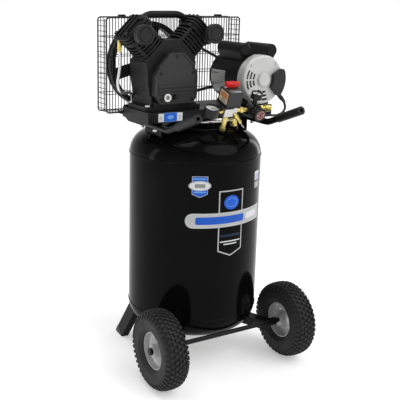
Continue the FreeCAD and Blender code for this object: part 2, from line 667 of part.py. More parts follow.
def build_pistons():
    crown, skirt, pin_at = 124.0, 86.0, 104.0
    for side, name in ((-1, "left"), (1, "right")):
        rod_y = PUMP_Y + side * ROD_Y
        piston = upright(BORE_R - GAP, skirt, crown).cut(upright(BORE_R - 5, skirt - 1, crown - 7))
        pin_ends = ((PUMP_X, PUMP_Y - 27, PUMP_Z + pin_at), (PUMP_X, PUMP_Y + 27, PUMP_Z + pin_at))
        bosses = rod(10, *pin_ends).common(upright(BORE_R - 5, skirt, crown))
        bosses = bosses.cut(box(PUMP_X - 20, PUMP_X + 20, rod_y - 7, rod_y + 7, PUMP_Z, PUMP_Z + 150))
        piston = piston.fuse(bosses).cut(rod(6, *pin_ends))
        save(name + "_piston", bank(side, piston))
        save(name + "_piston", bank(side, rod(6, *pin_ends)))
        small_end = rod(9.5, (PUMP_X, rod_y - 6, PUMP_Z + pin_at), (PUMP_X, rod_y + 6, PUMP_Z + pin_at))
        shank = box(PUMP_X - 6, PUMP_X + 6, rod_y - 5, rod_y + 5, PUMP_Z + 56, PUMP_Z + pin_at)
        conrod = small_end.fuse(shank).cut(rod(6 + RUN, *pin_ends))
        save(name + "_connecting_rod", bank(side, conrod))


# ---- belt, motor ----
def belt_wire(r_fly, r_motor):
    """Open belt line round both pulleys at Y = 0."""
    a = V(PUMP_X, 0, PUMP_Z)
    b = V(MOTOR_X, 0, MOTOR_Z)
    along = b - a
    span = along.Length
    base = math.atan2(along.z, along.x)
    lean = math.acos((r_fly - r_motor) / span)

    def on_circle(centre, radius, angle):
        return centre + V(radius * math.cos(angle), 0, radius * math.sin(angle))

    top_a, top_b = on_circle(a, r_fly, base + lean), on_circle(b, r_motor, base + lean)
    low_a, low_b = on_circle(a, r_fly, base - lean), on_circle(b, r_motor, base - lean)
    far_a, far_b = on_circle(a, r_fly, base + math.pi), on_circle(b, r_motor, base)
    return Part.Wire([Part.LineSegment(top_a, top_b).toShape(), Part.Arc(top_b, far_b, low_b).toShape(),
                      Part.LineSegment(low_b, low_a).toShape(), Part.Arc(low_a, far_a, top_a).toShape()])


def build_belt():
    outer = slab(belt_wire(FLY_PITCH + 4, PULLEY_PITCH + 4), BELT_Y - 6, BELT_Y + 6)
    inner = slab(belt_wire(FLY_PITCH - 4, PULLEY_PITCH - 4), BELT_Y - 7, BELT_Y + 7)
    save("v_belt", outer.cut(inner))
    start, end = (MOTOR_X, BELT_Y - 12, MOTOR_Z), (MOTOR_X, BELT_Y + 12, MOTOR_Z)
    pulley = rod(PULLEY_R, start, end)
    groove = rod(PULLEY_R + 1, (MOTOR_X, BELT_Y - 7, MOTOR_Z), (MOTOR_X, BELT_Y + 7, MOTOR_Z),
                 hole=PULLEY_PITCH - 6)
    save("motor_pulley", pulley.cut(groove).cut(rod(SHAFT_R, start, end)))


def motor_rod(radius, y0, y1, hole=0):
    return rod(radius, (MOTOR_X, y0, MOTOR_Z), (MOTOR_X, y1, MOTOR_Z), hole=hole)


def sector(r0, r1, a0, a1, y0, y1):
    """Ring sector about the motor axis; angles from +X towards +Z."""
    def at(radius, degrees):
        angle = math.radians(degrees)
        return V(MOTOR_X + radius * math.cos(angle), y0, MOTOR_Z + radius * math.sin(angle))

    mid = (a0 + a1) / 2
    wire = Part.Wire([Part.Arc(at(r1, a0), at(r1, mid), at(r1, a1)).toShape(),
                      Part.LineSegment(at(r1, a1), at(r0, a1)).toShape(),
                      Part.Arc(at(r0, a1), at(r0, mid), at(r0, a0)).toShape(),
                      Part.LineSegment(at(r0, a0), at(r1, a0)).toShape()])
    return Part.Face(wire).extrude(V(0, y1 - y0, 0))


def terminal_box():
    """Kidney-shaped terminal cover on the front bell."""
    kidney = sector(34, 85, -46, 28, BELL_Y - 14, BELL_Y)
    corners = [e for e in kidney.Edges if e.BoundBox.YLength > 13.9 and e.BoundBox.XLength < 0.01]
    return kidney.makeFillet(12, corners)


MOTOR_Y0 = -86.0
MOTOR_Y1 = 78.0
BELL_Y = -124.0
BELL_BOLT_R = 72.0


def build_motor():
    shell = motor_rod(MOTOR_R, MOTOR_Y0, MOTOR_Y1, hole=MOTOR_R - 2.5)
    save("motor_shell", shell)
    front = [(0, 0), (0, -8), (22, -8), (24, -6), (24, 0), (76, 0), (80, 2), (MOTOR_R, 6), (MOTOR_R, 38),
             (MOTOR_R - 2.5, 38), (MOTOR_R - 4, 14), (76, 8), (68, 6), (22, 6), (22, 22), (0, 22)]
    bell = spin(front, (MOTOR_X, BELL_Y, MOTOR_Z), (0, 1, 0))
    slots = []
    for r0, r1 in ((38, 45), (51, 58), (64, 71)):
        for a0, a1 in ((150, 176), (181, 207), (236, 262), (267, 286)):
            slots.append(sector(r0, r1, a0, a1, BELL_Y - 2, BELL_Y + 16))
    for slot in slots:
        bell = bell.cut(slot)
    bell = bell.cut(motor_rod(SHAFT_R + GAP, BELL_Y + 3, BELL_Y + 24))
    bell = bell.cut(motor_rod(17.5, BELL_Y + 12, BELL_Y + 23))
    for angle in (45, 135, 225):
        x = MOTOR_X + BELL_BOLT_R * math.cos(math.radians(angle))
        z = MOTOR_Z + BELL_BOLT_R * math.sin(math.radians(angle))
        through = rod(2.5, (x, BELL_Y, z), (x, BELL_Y + 6, z))
        bell = bell.cut(through)
        save("motor_front_bell", through.fuse(hexagon(8, (x, BELL_Y - 4, z), (x, BELL_Y, z))))
    save("motor_front_bell", bell)
    rear = [(17.5, 0), (70, 0), (78, -3), (MOTOR_R, -10), (MOTOR_R, -22), (MOTOR_R - 2.5, -22),
            (77, -12), (69, -6), (25, -6), (25, -14), (17.5, -14)]
    rear_bell = spin(rear, (MOTOR_X, MOTOR_Y1 + 14, MOTOR_Z), (0, 1, 0))
    rear_bell = rear_bell.common(box(0, 400, MOTOR_Y1, 200, 800, 1200))
    save("motor_shell", rear_bell)
    save("stator", motor_rod(MOTOR_R - 2.5, -42, 42, hole=46))
    bearings = [motor_rod(17.5, BELL_Y + 12, BELL_Y + 23, hole=SHAFT_R + RUN),
                motor_rod(17.5, MOTOR_Y1 + 1, MOTOR_Y1 + 14, hole=SHAFT_R + RUN)]
    save("shaft_bearings", *bearings)
    rotor = motor_rod(45, -40, 40).fuse(motor_rod(SHAFT_R, BELL_Y + 8, BELT_Y + 14))
    fan = motor_rod(56, 52, 56).fuse(motor_rod(20, 40, 56))
    for i in range(8):
        blade = box(MOTOR_X + 22, MOTOR_X + 60, 56, 70, MOTOR_Z - 1, MOTOR_Z + 1)
        blade.rotate(V(MOTOR_X, 0, MOTOR_Z), Y_AXIS, 45 * i)
        fan = fan.fuse(blade)
    save("rotor", rotor)
    save("rotor", fan.cut(rotor))
    save("terminal_cover", terminal_box())
    covers = []
    for angle, reach, y0, y1 in ((114.8, 108, -78, 64), (59.2, 109.4, -92, 50)):
        x = MOTOR_X + reach * math.cos(math.radians(angle))
        z = MOTOR_Z + reach * math.sin(math.radians(angle))
        dome = rod(23, (x, y0, z), (x, y1, z))
        dome = dome.makeFillet(6, dome.Edges[0:1] + dome.Edges[2:3])
        skirt = box(-22.8, 22.8, y0 + 5, y1 - 5, -45, 0)
        skirt.rotate(V(0, 0, 0), Y_AXIS, 90 - angle)
        skirt.translate(V(x, 0, z))
        hollow = rod(20.5, (x, y0 + 3, z), (x, y1 - 3, z))
        cover = dome.fuse(skirt).cut(motor_rod(MOTOR_R, -140, 140)).cut(hollow)
        covers.append(max(cover.Solids, key=lambda s: s.Volume))
        can_r = 20.2
        save("capacitor_covers", rod(can_r, (x, y0 + 10, z), (x, y1 - 14, z)))
    save("capacitor_covers", *covers)
    cradle = plate_xz([(MOTOR_X - 62, DECK_Z), (MOTOR_X + 62, DECK_Z), (MOTOR_X + 62, DECK_Z + 9),
                       (MOTOR_X + 48, DECK_Z + 9), (MOTOR_X + 40, MOTOR_Z - 62), (MOTOR_X - 40, MOTOR_Z - 62),
                       (MOTOR_X - 48, DECK_Z + 9), (MOTOR_X - 62, DECK_Z + 9)], -76, 60)
    cradle = cradle.cut(motor_rod(MOTOR_R, -140, 140))
    cradle = cradle.cut(box(MOTOR_X - 34, MOTOR_X + 34, -80, 70, DECK_Z - 1, DECK_Z + 5))
    for x, y in MOTOR_BOLTS:
        cradle = cradle.cut(rod(4, (x, y, 880), (x, y, 920)))
        cradle = cradle.cut(rod(9, (x, y, DECK_Z + 9), (x, y, 940)))
    save("motor_base", max(cradle.Solids, key=lambda s: s.Volume))
    bolts = [rod(4, (x, y, DECK_Z - 10), (x, y, DECK_Z + 9)).fuse(
        hexagon(13, (x, y, DECK_Z + 9), (x, y, DECK_Z + 15))) for x, y in MOTOR_BOLTS]
    save("platform_bolts", *bolts)


# ---- belt guard ----
def grille(y, side, openings):
    """Flat wire grille in a rod frame; side is where the horizontal wires lie."""
    x0, x1, z0, z1 = GUARD_X0 + FRAME_R, GUARD_X1 - FRAME_R, GUARD_Z0, GUARD_Z1
    wires = []
    count = int((x1 - x0) / WIRE_PITCH)
    for i in range(1, count):
        x = x0 + (x1 - x0) * i / count
        gaps = [(cz - math.sqrt(r * r - (x - cx) ** 2), cz + math.sqrt(r * r - (x - cx) ** 2))
                for cx, cz, r in openings if abs(x - cx) < r]
        low = z0 + FRAME_R
        for g0, g1 in gaps:
            wires.append(rod(WIRE_R, (x, y, low), (x, y, g0)))
            low = g1
        wires.append(rod(WIRE_R, (x, y, low), (x, y, z1 - FRAME_R)))
    rows = 5
    for i in range(1, rows):
        z = z0 + (z1 - z0) * i / rows
        yy = y + side * 2 * WIRE_R
        low = x0 + FRAME_R
        for cx, cz, r in sorted(openings):
            if abs(z - cz) < r:
                reach = math.sqrt(r * r - (z - cz) ** 2)
                wires.append(rod(WIRE_R, (low, yy, z), (cx - reach, yy, z)))
                low = cx + reach
        wires.append(rod(WIRE_R, (low, yy, z), (x1 - FRAME_R, yy, z)))
    for cx, cz, r in openings:
        wires.append(torus(r + WIRE_R, WIRE_R, (cx, y - side * 2 * WIRE_R, cz), (0, 1, 0)))
    frame = frame_ring(x0, x1, z0, z1, y)
    return [frame] + [w.cut(frame) for w in wires]


def frame_ring(x0, x1, z0, z1, y):
    outline = round_outline([(x0, z0), (x0, z1), (x1, z1), (x1, z0)], [10, 10, 10, 10])
    outline.translate(V(0, y, 0))
    start = outline.Vertexes[0].Point
    direction = outline.Edges[0].tangentAt(outline.Edges[0].FirstParameter)
    circle = Part.Wire([Part.makeCircle(FRAME_R, start, direction)])
    return outline.makePipeShell([circle], True, False)


def build_guard():
    openings = [(PUMP_X, PUMP_Z, 42.0), (MOTOR_X, MOTOR_Z, 30.0)]
    save("guard_front", *grille(GUARD_Y0, -1, openings))
    save("guard_back", *grille(GUARD_Y1, 1, []))
    middle = (GUARD_Y0 + GUARD_Y1) / 2
    halves = (("guard_front", GUARD_Y0 + FRAME_R, middle - 0.2),
              ("guard_back", middle + 0.2, GUARD_Y1 - FRAME_R))
    x0, x1 = GUARD_X0 + FRAME_R, GUARD_X1 - FRAME_R
    count = int((x1 - x0) / WIRE_PITCH)
    for name, y0, y1 in halves:
        for i in range(1, count):
            x = x0 + (x1 - x0) * i / count
            save(name, *[rod(WIRE_R, (x, y0, z), (x, y1, z)) for z in (GUARD_Z0, GUARD_Z1)])
        for i in range(18):
            z = GUARD_Z0 + 12 + i * 17.2
            save(name, *[rod(WIRE_R, (x, y0, z), (x, y1, z)) for x in (x0, x1)])
        y = (y0 + y1) / 2
        for x in (x0 + 2 * WIRE_R, x1 - 2 * WIRE_R):
            save(name, rod(WIRE_R, (x, y, GUARD_Z0 + 5), (x, y, GUARD_Z1 - 5)))
    clips = []
    for x in (GUARD_X0 + 75, GUARD_X1 - 75):
        for z, side in ((GUARD_Z1, 1), (GUARD_Z0, -1)):
            low, high = sorted((z + side * WIRE_R, z + side * 9))
            clips.append(box(x - 9, x + 9, middle - 12, middle + 12, low, high))
    save("guard_fittings", *clips)
    brackets = []
    for x in (-226, 214):
        top = GUARD_Z0 - FRAME_R
        bar = box(x - 14, x + 14, DECK_Y1, GUARD_Y0 + 6, top - 3, top)
        leg = box(x - 14, x + 14, DECK_Y1, DECK_Y1 + 3, top - 3, DECK_Z + 4)
        brackets.append(bar.fuse(leg))
    save("guard_fittings", *brackets)


# ---- manifold, drawn upright on the port and leaned forward ----
def lean(shape):
    shape = shape.copy()
    shape.rotate(V(0, 0, 0), X_AXIS, LEAN)
    shape.translate(PORT)
    return shape


BLOCK = (-16.0, 34.0, -14.0, 14.0, 60.0, 92.0)
LINE_W = 78.0
REG_U = 105.0
SAFETY_AXIS = V(0.52, -0.5, -0.69).normalize()
SAFETY_START = V(26, -13, 70)


def gauge(name, u, w0, w1, radius, stem, dial_marks):
    """Round gauge lying on its back: case, dial, lens and needle."""
    case = rod(radius, (u, 0, w0), (u, 0, w1), hole=radius - 2.5)
    case = case.fuse(rod(radius - 2, (u, 0, w0), (u, 0, w1 - 8)))
    save("gauge_cases", lean(case.cut(stem)))
    save("gauge_cases", lean(rod(radius - 2.5, (u, 0, w1 - 8), (u, 0, w1 - 6.5), hole=1.2)))
    pointer = box(u - 1, u + 1, -4, radius * 0.62, w1 - 5.6, w1 - 4.8)
    pointer = pointer.fuse(rod(2.6, (u, 0, w1 - 5.6), (u, 0, w1 - 4.4)))
    pointer = pointer.fuse(rod(1.1, (u, 0, w1 - 7.6), (u, 0, w1 - 5)))
    pointer.rotate(V(u, 0, 0), Z_AXIS, dial_marks)
    save(name + "_needle", lean(pointer))
    save("gauge_lenses", lean(rod(radius - 2.5, (u, 0, w1 - 2.5), (u, 0, w1 - 0.5))))


def build_manifold():
    nipple = rod(8.9, (0, 0, -8), (0, 0, 60), hole=6)
    nipple = nipple.fuse(hexagon(20, (0, 0, 8), (0, 0, 18)).cut(rod(6, (0, 0, 0), (0, 0, 60))))
    save("brass_fittings", lean(nipple))
    u0, u1 = BLOCK[:2]
    block = box(*BLOCK)
    block = block.makeFillet(4, block.Edges)
    block = block.cut(rod(6, (0, 0, 50), (0, 0, 100)))
    left_stem = rod(5, (u0 + 6, 0, LINE_W), (-36, 0, LINE_W), hole=2)
    left_stem = left_stem.fuse(hexagon(13, (-21, 0, LINE_W), (-31, 0, LINE_W)).cut(
        rod(2, (-10, 0, LINE_W), (-50, 0, LINE_W))))
    block = block.cut(rod(5, (u0 + 6, 0, LINE_W), (u0 - 1, 0, LINE_W)))
    bridge = rod(7, (u1 - 6, 0, LINE_W), (REG_U - 24, 0, LINE_W), hole=4)
    bridge = bridge.fuse(hexagon(18, (50, 0, LINE_W), (62, 0, LINE_W)).cut(
        rod(4, (40, 0, LINE_W), (80, 0, LINE_W))))
    block = block.cut(rod(7, (u1 - 6, 0, LINE_W), (u1 + 1, 0, LINE_W)))
    tail = SAFETY_START + SAFETY_AXIS * 34
    safety = rod(6, SAFETY_START - SAFETY_AXIS * 6, SAFETY_START + SAFETY_AXIS * 6)
    safety = safety.fuse(hexagon(16, SAFETY_START + SAFETY_AXIS * 4, SAFETY_START + SAFETY_AXIS * 12))
    safety = safety.fuse(rod(7, SAFETY_START + SAFETY_AXIS * 10, tail, hole=3.2))
    block = block.cut(rod(6, SAFETY_START - SAFETY_AXIS * 6, SAFETY_START + SAFETY_AXIS * 20))
    block = block.cut(hexagon(17, SAFETY_START + SAFETY_AXIS * 3.9, SAFETY_START + SAFETY_AXIS * 20))
    save("manifold_block", lean(block))
    save("brass_fittings", lean(left_stem), lean(bridge))
    safety = safety.cut(rod(3.2, SAFETY_START + SAFETY_AXIS * 14, tail + SAFETY_AXIS * 5))
    save("brass_fittings", lean(safety))
    pull = rod(2.6, SAFETY_START + SAFETY_AXIS * 18, tail + SAFETY_AXIS * 5)
    ring_at = tail + SAFETY_AXIS * 12.5
    pull = pull.fuse(torus(8, 1.1, ring_at, SAFETY_AXIS.cross(V(0, 1, 0))))
    save("safety_pull_ring", lean(pull))
    gauge("tank_gauge", -61, 66, 96, 25, rod(5, (0, 0, LINE_W), (-36, 0, LINE_W)), -120)


def build_switch():
    base = box(-28, 28, -29, 29, 104, 109)
    foot = hexagon(20, (0, 0, 92.2), (0, 0, 104)).cut(rod(4, (0, 0, 80), (0, 0, 110)))
    base = base.fuse(foot).cut(rod(4, (0, 0, 80), (0, 0, 110)))
    base = base.fuse(rod(6, (0, 0, 88), (0, 0, 104), hole=4))
    base = base.fuse(rod(9, (28, 14, 116), (33, 14, 116))).fuse(box(24, 28, 4, 24, 106, 126))
    base = base.fuse(rod(5, (-18, -10, 109), (-18, -10, 112)))
    cover = box(-27, 27, -28.5, 28.5, 109, 156)
    cover = cover.makeFillet(2.5, [e for e in cover.Edges if e.BoundBox.ZMin > 110])
    cover = cover.cut(box(-24.5, 24.5, -26, 26, 108, 153.5)).cut(box(23.5, 29, 4, 24, 108, 126))
    save("pressure_switch_base", lean(base))
    contacts = box(-20, 18, -16, 16, 112, 140).fuse(rod(5, (-18, -10, 109), (-18, -10, 113)))
    save("pressure_switch_base", lean(contacts.cut(rod(5, (-18, -10, 109), (-18, -10, 112)))))
    pivot = rod(4.5, (4, 20, 154), (4, 20, 159))
    cover = cover.cut(rod(5, (4, 20, 150), (4, 20, 158)))
    save("pressure_switch_cover", lean(cover))
    save("switch_lever", lean(lever_solid().fuse(pivot)))


def lever_solid():
    wire = Part.makePolygon([V(-14, 12, 157), V(12, 10, 157), V(36, 17, 157), V(38, 20, 157), V(36, 23, 157),
                             V(12, 30, 157), V(-14, 28, 157), V(-14, 12, 157)])
    body = Part.Face(wire).extrude(V(0, 0, 15))
    return body.makeFillet(2.5, [e for e in body.Edges if e.BoundBox.ZMin > 171])


def build_regulator():
    u = REG_U
    body = rod(21, (u, 17, LINE_W), (u, -14, LINE_W))
    body = body.fuse(box(u - 24, u + 24, -12, 12, LINE_W - 13, LINE_W + 13))
    body = body.fuse(rod(8, (u, 0, LINE_W), (u, 0, 112)))
    body = body.fuse(rod(18, (u, -14, LINE_W), (u, -20, LINE_W)))
    save("regulator_body", lean(body))
    knob = rod(22, (u, -20.4, LINE_W), (u, -46, LINE_W))
    for i in range(16):
        angle = math.radians(22.5 * i)
        at = (u + 23.4 * math.cos(angle), LINE_W + 23.4 * math.sin(angle))
        knob = knob.cut(rod(2.6, (at[0], -19, at[1]), (at[0], -42, at[1])))
    save("regulator_knob", lean(knob))
    stem = rod(5, (u, 0, 112), (u, 0, 118))
    save("brass_fittings", lean(stem))
    gauge("outlet_gauge", u, 118, 138, 19, stem, -60)
    start = u + 24
    outlet = rod(7, (start, 0, LINE_W), (start + 14, 0, LINE_W), hole=4)
    outlet = outlet.fuse(hexagon(19, (start + 3, 0, LINE_W), (start + 14, 0, LINE_W)))
    outlet = outlet.fuse(rod(9, (start + 14, 0, LINE_W), (start + 46, 0, LINE_W)))
    outlet = outlet.fuse(rod(11.5, (start + 14, 0, LINE_W), (start + 18, 0, LINE_W)))
    outlet = outlet.cut(rod(4, (start, 0, LINE_W), (start + 50, 0, LINE_W)))
    outlet = outlet.cut(rod(6, (start + 28, 0, LINE_W), (start + 50, 0, LINE_W)))
    save("brass_fittings", lean(outlet))
    sleeve = rod(12, (start + 24, 0, LINE_W), (start + 42, 0, LINE_W), hole=9 + GAP)
    save("coupler_sleeve", lean(sleeve))


LEAD_R = 4.0
LEAD_ROUTE = [(258, -132, 919), (272, -136, 903), (276, -141, 882), (262, -145, 866), (236, -146, 858),
              (204, -140, 860), (174, -130, 857), (142, -122, 855), (112, -118, 866), (88, -119, 886),
              (72, -128, 908)]


def build_leads():
    gland_end = LEAN_ROT.multVec(V(33, 14, 116)) + PORT
    gland_next = LEAN_ROT.multVec(V(46, 14, 114)) + PORT
    route = [V(*p) for p in LEAD_ROUTE] + [gland_next, gland_end]
    save("motor_lead", tube(route, LEAD_R))
    start = V(*LEAD_ROUTE[0])
    back = (start - V(*LEAD_ROUTE[1])).normalize()
    gland = rod(7, start, start + back * 16).cut(motor_rod(MOTOR_R, BELL_Y, 0)).cut(terminal_box())
    save("terminal_cover", max(gland.Solids, key=lambda s: s.Volume))


os.makedirs("parts", exist_ok=True)
build_tank()
build_undercarriage()
build_wheels()
build_platform()
build_crankcase()
build_cylinders()
build_pipes()
build_crank()
build_pistons()
build_belt()
build_motor()
build_guard()
build_manifold()
build_switch()
build_regulator()
build_leads()
export_nodes()
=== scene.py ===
import math
import random
import bpy
import bmesh
from mathutils import Matrix, Vector


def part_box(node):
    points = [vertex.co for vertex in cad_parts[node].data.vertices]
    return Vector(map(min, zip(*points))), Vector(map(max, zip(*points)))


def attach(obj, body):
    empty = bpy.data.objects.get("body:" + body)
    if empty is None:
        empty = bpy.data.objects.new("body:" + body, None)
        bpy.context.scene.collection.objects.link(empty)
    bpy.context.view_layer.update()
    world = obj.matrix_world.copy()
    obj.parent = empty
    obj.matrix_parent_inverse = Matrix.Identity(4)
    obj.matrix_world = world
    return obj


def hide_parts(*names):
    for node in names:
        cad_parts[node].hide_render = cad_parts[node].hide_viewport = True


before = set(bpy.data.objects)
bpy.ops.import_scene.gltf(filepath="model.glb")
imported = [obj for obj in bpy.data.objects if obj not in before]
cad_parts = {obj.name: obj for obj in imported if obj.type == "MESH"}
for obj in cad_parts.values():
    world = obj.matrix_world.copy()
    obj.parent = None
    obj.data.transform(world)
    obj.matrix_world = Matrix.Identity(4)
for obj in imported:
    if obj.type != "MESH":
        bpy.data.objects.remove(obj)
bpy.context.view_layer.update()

# All lengths are metres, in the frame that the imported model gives, unless a name ends in MM.

# ---------------------------------------------------------------- places read from the frame

TANK_LO, TANK_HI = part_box("tank_shell")
TANK_Y = (TANK_LO.y + TANK_HI.y) / 2
TANK_R = (TANK_HI.x - TANK_LO.x) / 2
MOTOR_LO, MOTOR_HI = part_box("motor_shell")
MOTOR_X = (MOTOR_LO.x + MOTOR_HI.x) / 2
MOTOR_Z = (MOTOR_LO.z + MOTOR_HI.z) / 2
MOTOR_R = (MOTOR_HI.x - MOTOR_LO.x) / 2
DECK_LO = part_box("top_platform")[0]
CROWN_R, KNUCKLE_R = 1.8 * TANK_R, 0.34 * TANK_R
HEAD_H = CROWN_R - math.sqrt((CROWN_R - KNUCKLE_R) ** 2 - (TANK_R - KNUCKLE_R) ** 2)
PORT_X, PORT_Y = 0.012, -0.14                    # from the tank's axis
PORT_RISE = HEAD_H - CROWN_R + math.sqrt(CROWN_R ** 2 - PORT_X ** 2 - PORT_Y ** 2)
PORT = Vector((PORT_X, TANK_Y + PORT_Y, TANK_HI.z + PORT_RISE))   # foot of the leaning manifold
LEAN = math.radians(20)


def lean(u, v, w):
    """A point of the manifold: u to the right, v to the back, w up along the leaning nipple."""
    back = v * math.cos(LEAN) - w * math.sin(LEAN)
    up = v * math.sin(LEAN) + w * math.cos(LEAN)
    return PORT + Vector((u, back, up))


LEAN_UP = lean(0, 0, 1) - lean(0, 0, 0)
LEAN_FRONT = lean(0, -1, 0) - lean(0, 0, 0)


# ---------------------------------------------------------------- materials

def tree(name):
    """A material with a Principled shader; gives the material, its tree and the shader."""
    mat = bpy.data.materials.new(name)
    mat.use_nodes = True
    nt = mat.node_tree
    nt.nodes.clear()
    out = nt.nodes.new("ShaderNodeOutputMaterial")
    shader = nt.nodes.new("ShaderNodeBsdfPrincipled")
    nt.links.new(shader.outputs[0], out.inputs[0])
    return mat, nt, shader


def noise(nt, scale, detail=3.0, rough=0.5, stretch=(1, 1, 1), kind="ShaderNodeTexNoise"):
    """Noise in the piece's own coordinates."""
    coord = nt.nodes.new("ShaderNodeTexCoord")
    mapping = nt.nodes.new("ShaderNodeMapping")
    mapping.inputs["Scale"].default_value = stretch
    nt.links.new(coord.outputs["Object"], mapping.inputs["Vector"])
    tex = nt.nodes.new(kind)
    tex.inputs["Scale"].default_value = scale
    if kind == "ShaderNodeTexNoise":
        tex.inputs["Detail"].default_value = detail
        tex.inputs["Roughness"].default_value = rough
    nt.links.new(mapping.outputs["Vector"], tex.inputs["Vector"])
    return tex.outputs["Distance" if kind == "ShaderNodeTexVoronoi" else 0]


def span(nt, value, low, high, a, b):
    """value from low..high to a..b."""
    node = nt.nodes.new("ShaderNodeMapRange")
    for key, number in (("From Min", low), ("From Max", high), ("To Min", a), ("To Max", b)):
        node.inputs[key].default_value = number
    nt.links.new(value, node.inputs["Value"])
    return node.outputs["Result"]


def blend(nt, factor, first, second):
    """A colour from first to second; each is a colour or a socket."""
    node = nt.nodes.new("ShaderNodeMix")
    node.data_type = "RGBA"
    nt.links.new(factor, node.inputs[0])
    for slot, value in ((6, first), (7, second)):
        if isinstance(value, tuple):
            node.inputs[slot].default_value = (*value, 1)
        else:
            nt.links.new(value, node.inputs[slot])
    return node.outputs[2]


def shade(colour, by):
    return tuple(min(1.0, c * by) for c in colour)


def finish(name, colour, rough, metal=0.0, spec=0.5, coat=0.0, coat_rough=0.08, patch=(9.0, 0.15), wear=0.06,
           grain=(600.0, 0.00005), voronoi=None, stretch=(1, 1, 1), edge=0.0, dust_and_painted_top_light=0.0, extra=None):
    """A surface with patchy colour, uneven roughness and fine relief.

    patch is (scale, spread) of the colour; wear is the spread of the roughness; grain and voronoi are
    (scale, height) of the relief; edge is the radius that softens corners; dust_and_painted_top_light
    lightens the upward faces towards a dusty grey, partly as dust and partly as painted light from above;
    extra(nt, base) gives another base colour."""
    mat, nt, shader = tree(name)
    shader.inputs["Metallic"].default_value = metal
    shader.inputs["Specular IOR Level"].default_value = spec
    shader.inputs["Coat Weight"].default_value = coat
    shader.inputs["Coat Roughness"].default_value = coat_rough
    tint = span(nt, noise(nt, patch[0], 4.0), 0.3, 0.7, 0.0, 1.0)
    base = blend(nt, tint, shade(colour, 1 - patch[1]), shade(colour, 1 + patch[1]))
    # Painted light and dust: faces turned up are lightened towards a dusty grey, as if lit from above.
    if dust_and_painted_top_light:
        geo = nt.nodes.new("ShaderNodeNewGeometry")
        split = nt.nodes.new("ShaderNodeSeparateXYZ")
        nt.links.new(geo.outputs["Normal"], split.inputs[0])
        top = span(nt, split.outputs["Z"], 0.55, 1.0, 0.0, dust_and_painted_top_light)
        base = blend(nt, top, base, (0.32, 0.31, 0.29))
    if extra:
        base = extra(nt, base)
    nt.links.new(base, shader.inputs["Base Color"])
    uneven = span(nt, noise(nt, patch[0] * 4, 5.0, 0.6, stretch), 0.3, 0.7, rough - wear, rough + wear)
    nt.links.new(uneven, shader.inputs["Roughness"])
    normal = None
    if edge:
        soft = nt.nodes.new("ShaderNodeBevel")
        soft.samples = 4
        soft.inputs["Radius"].default_value = edge
        normal = soft.outputs[0]
    for kind, relief in (("ShaderNodeTexNoise", grain), ("ShaderNodeTexVoronoi", voronoi)):
        if relief:
            bump = nt.nodes.new("ShaderNodeBump")
            bump.inputs["Strength"].default_value = 1.0
            bump.inputs["Distance"].default_value = relief[1]
            nt.links.new(noise(nt, relief[0], 4.0, 0.6, stretch, kind), bump.inputs["Height"])
            if normal:
                nt.links.new(normal, bump.inputs["Normal"])
            normal = bump.outputs[0]
    if normal:
        nt.links.new(normal, shader.inputs["Normal"])
    return mat


def lamination(nt, base):
    """Thin dark lines between the sheets of a core, stacked along Y."""
    coord = nt.nodes.new("ShaderNodeTexCoord")
    wave = nt.nodes.new("ShaderNodeTexWave")
    wave.bands_direction = "Y"
    wave.inputs["Scale"].default_value = 320.0
    wave.inputs["Distortion"].default_value = 0.4
    nt.links.new(coord.outputs["Object"], wave.inputs["Vector"])
    return blend(nt, wave.outputs["Fac"], base, (0.05, 0.028, 0.018))


def lens(name):
    """Clear plastic, with uneven roughness."""
    mat, nt, shader = tree(name)
    shader.inputs["Base Color"].default_value = (0.97, 0.98, 0.98, 1)
    shader.inputs["Transmission Weight"].default_value = 1.0
    shader.inputs["IOR"].default_value = 1.12
    smear = span(nt, noise(nt, 60.0, 4.0), 0.35, 0.75, 0.01, 0.07)
    nt.links.new(smear, shader.inputs["Roughness"])
    return mat


# Where a finish below lightens its upward faces, that is partly dust and partly painted light from above.
GLOSS = finish("gloss_black", (0.0022, 0.0022, 0.0024), 0.12, spec=0.055, patch=(5, 0.3), wear=0.03,
               grain=(260, 0.00002))
SATIN = finish("satin_black", (0.0045, 0.0045, 0.0048), 0.33, spec=0.16, grain=(900, 0.00005), edge=0.0012,
               dust_and_painted_top_light=0.006)
CAST = finish("cast_black", (0.0085, 0.0085, 0.0090), 0.46, spec=0.24, patch=(22, 0.25), wear=0.1,
              grain=(700, 0.0003), voronoi=(1500, 0.00012), edge=0.0014, dust_and_painted_top_light=0.012)
COVER = finish("cast_grey", (0.026, 0.026, 0.027), 0.46, spec=0.30, patch=(18, 0.16), wear=0.08,
               grain=(800, 0.00022), voronoi=(1700, 0.0001), edge=0.0014)
TYRE = finish("tyre_rubber", (0.0150, 0.0150, 0.0150), 0.62, spec=0.30, patch=(14, 0.3), wear=0.1,
              grain=(1100, 0.00016), edge=0.0008, dust_and_painted_top_light=0.02)
RIM = finish("rim_silver_paint", (0.50, 0.50, 0.505), 0.36, metal=0.35, patch=(20, 0.12), wear=0.08,
             grain=(700, 0.00008), edge=0.001)
ZINC = finish("zinc_plate", (0.56, 0.56, 0.55), 0.30, metal=1.0, patch=(60, 0.14), wear=0.1,
              grain=(900, 0.00006), edge=0.0006)
TUBE = finish("drawn_aluminium", (0.66, 0.66, 0.65), 0.26, metal=0.9, patch=(30, 0.06), wear=0.07,
              grain=(500, 0.00004), stretch=(1, 1, 0.15))
BELL = finish("cast_aluminium", (0.56, 0.56, 0.555), 0.44, metal=0.35, patch=(16, 0.07), wear=0.08,
              grain=(650, 0.00020), voronoi=(1400, 0.00007), edge=0.0012)
BRASS = finish("machined_brass", (0.66, 0.53, 0.17), 0.28, metal=1.0, patch=(55, 0.16), wear=0.09,
               grain=(1200, 0.00005), edge=0.0006)
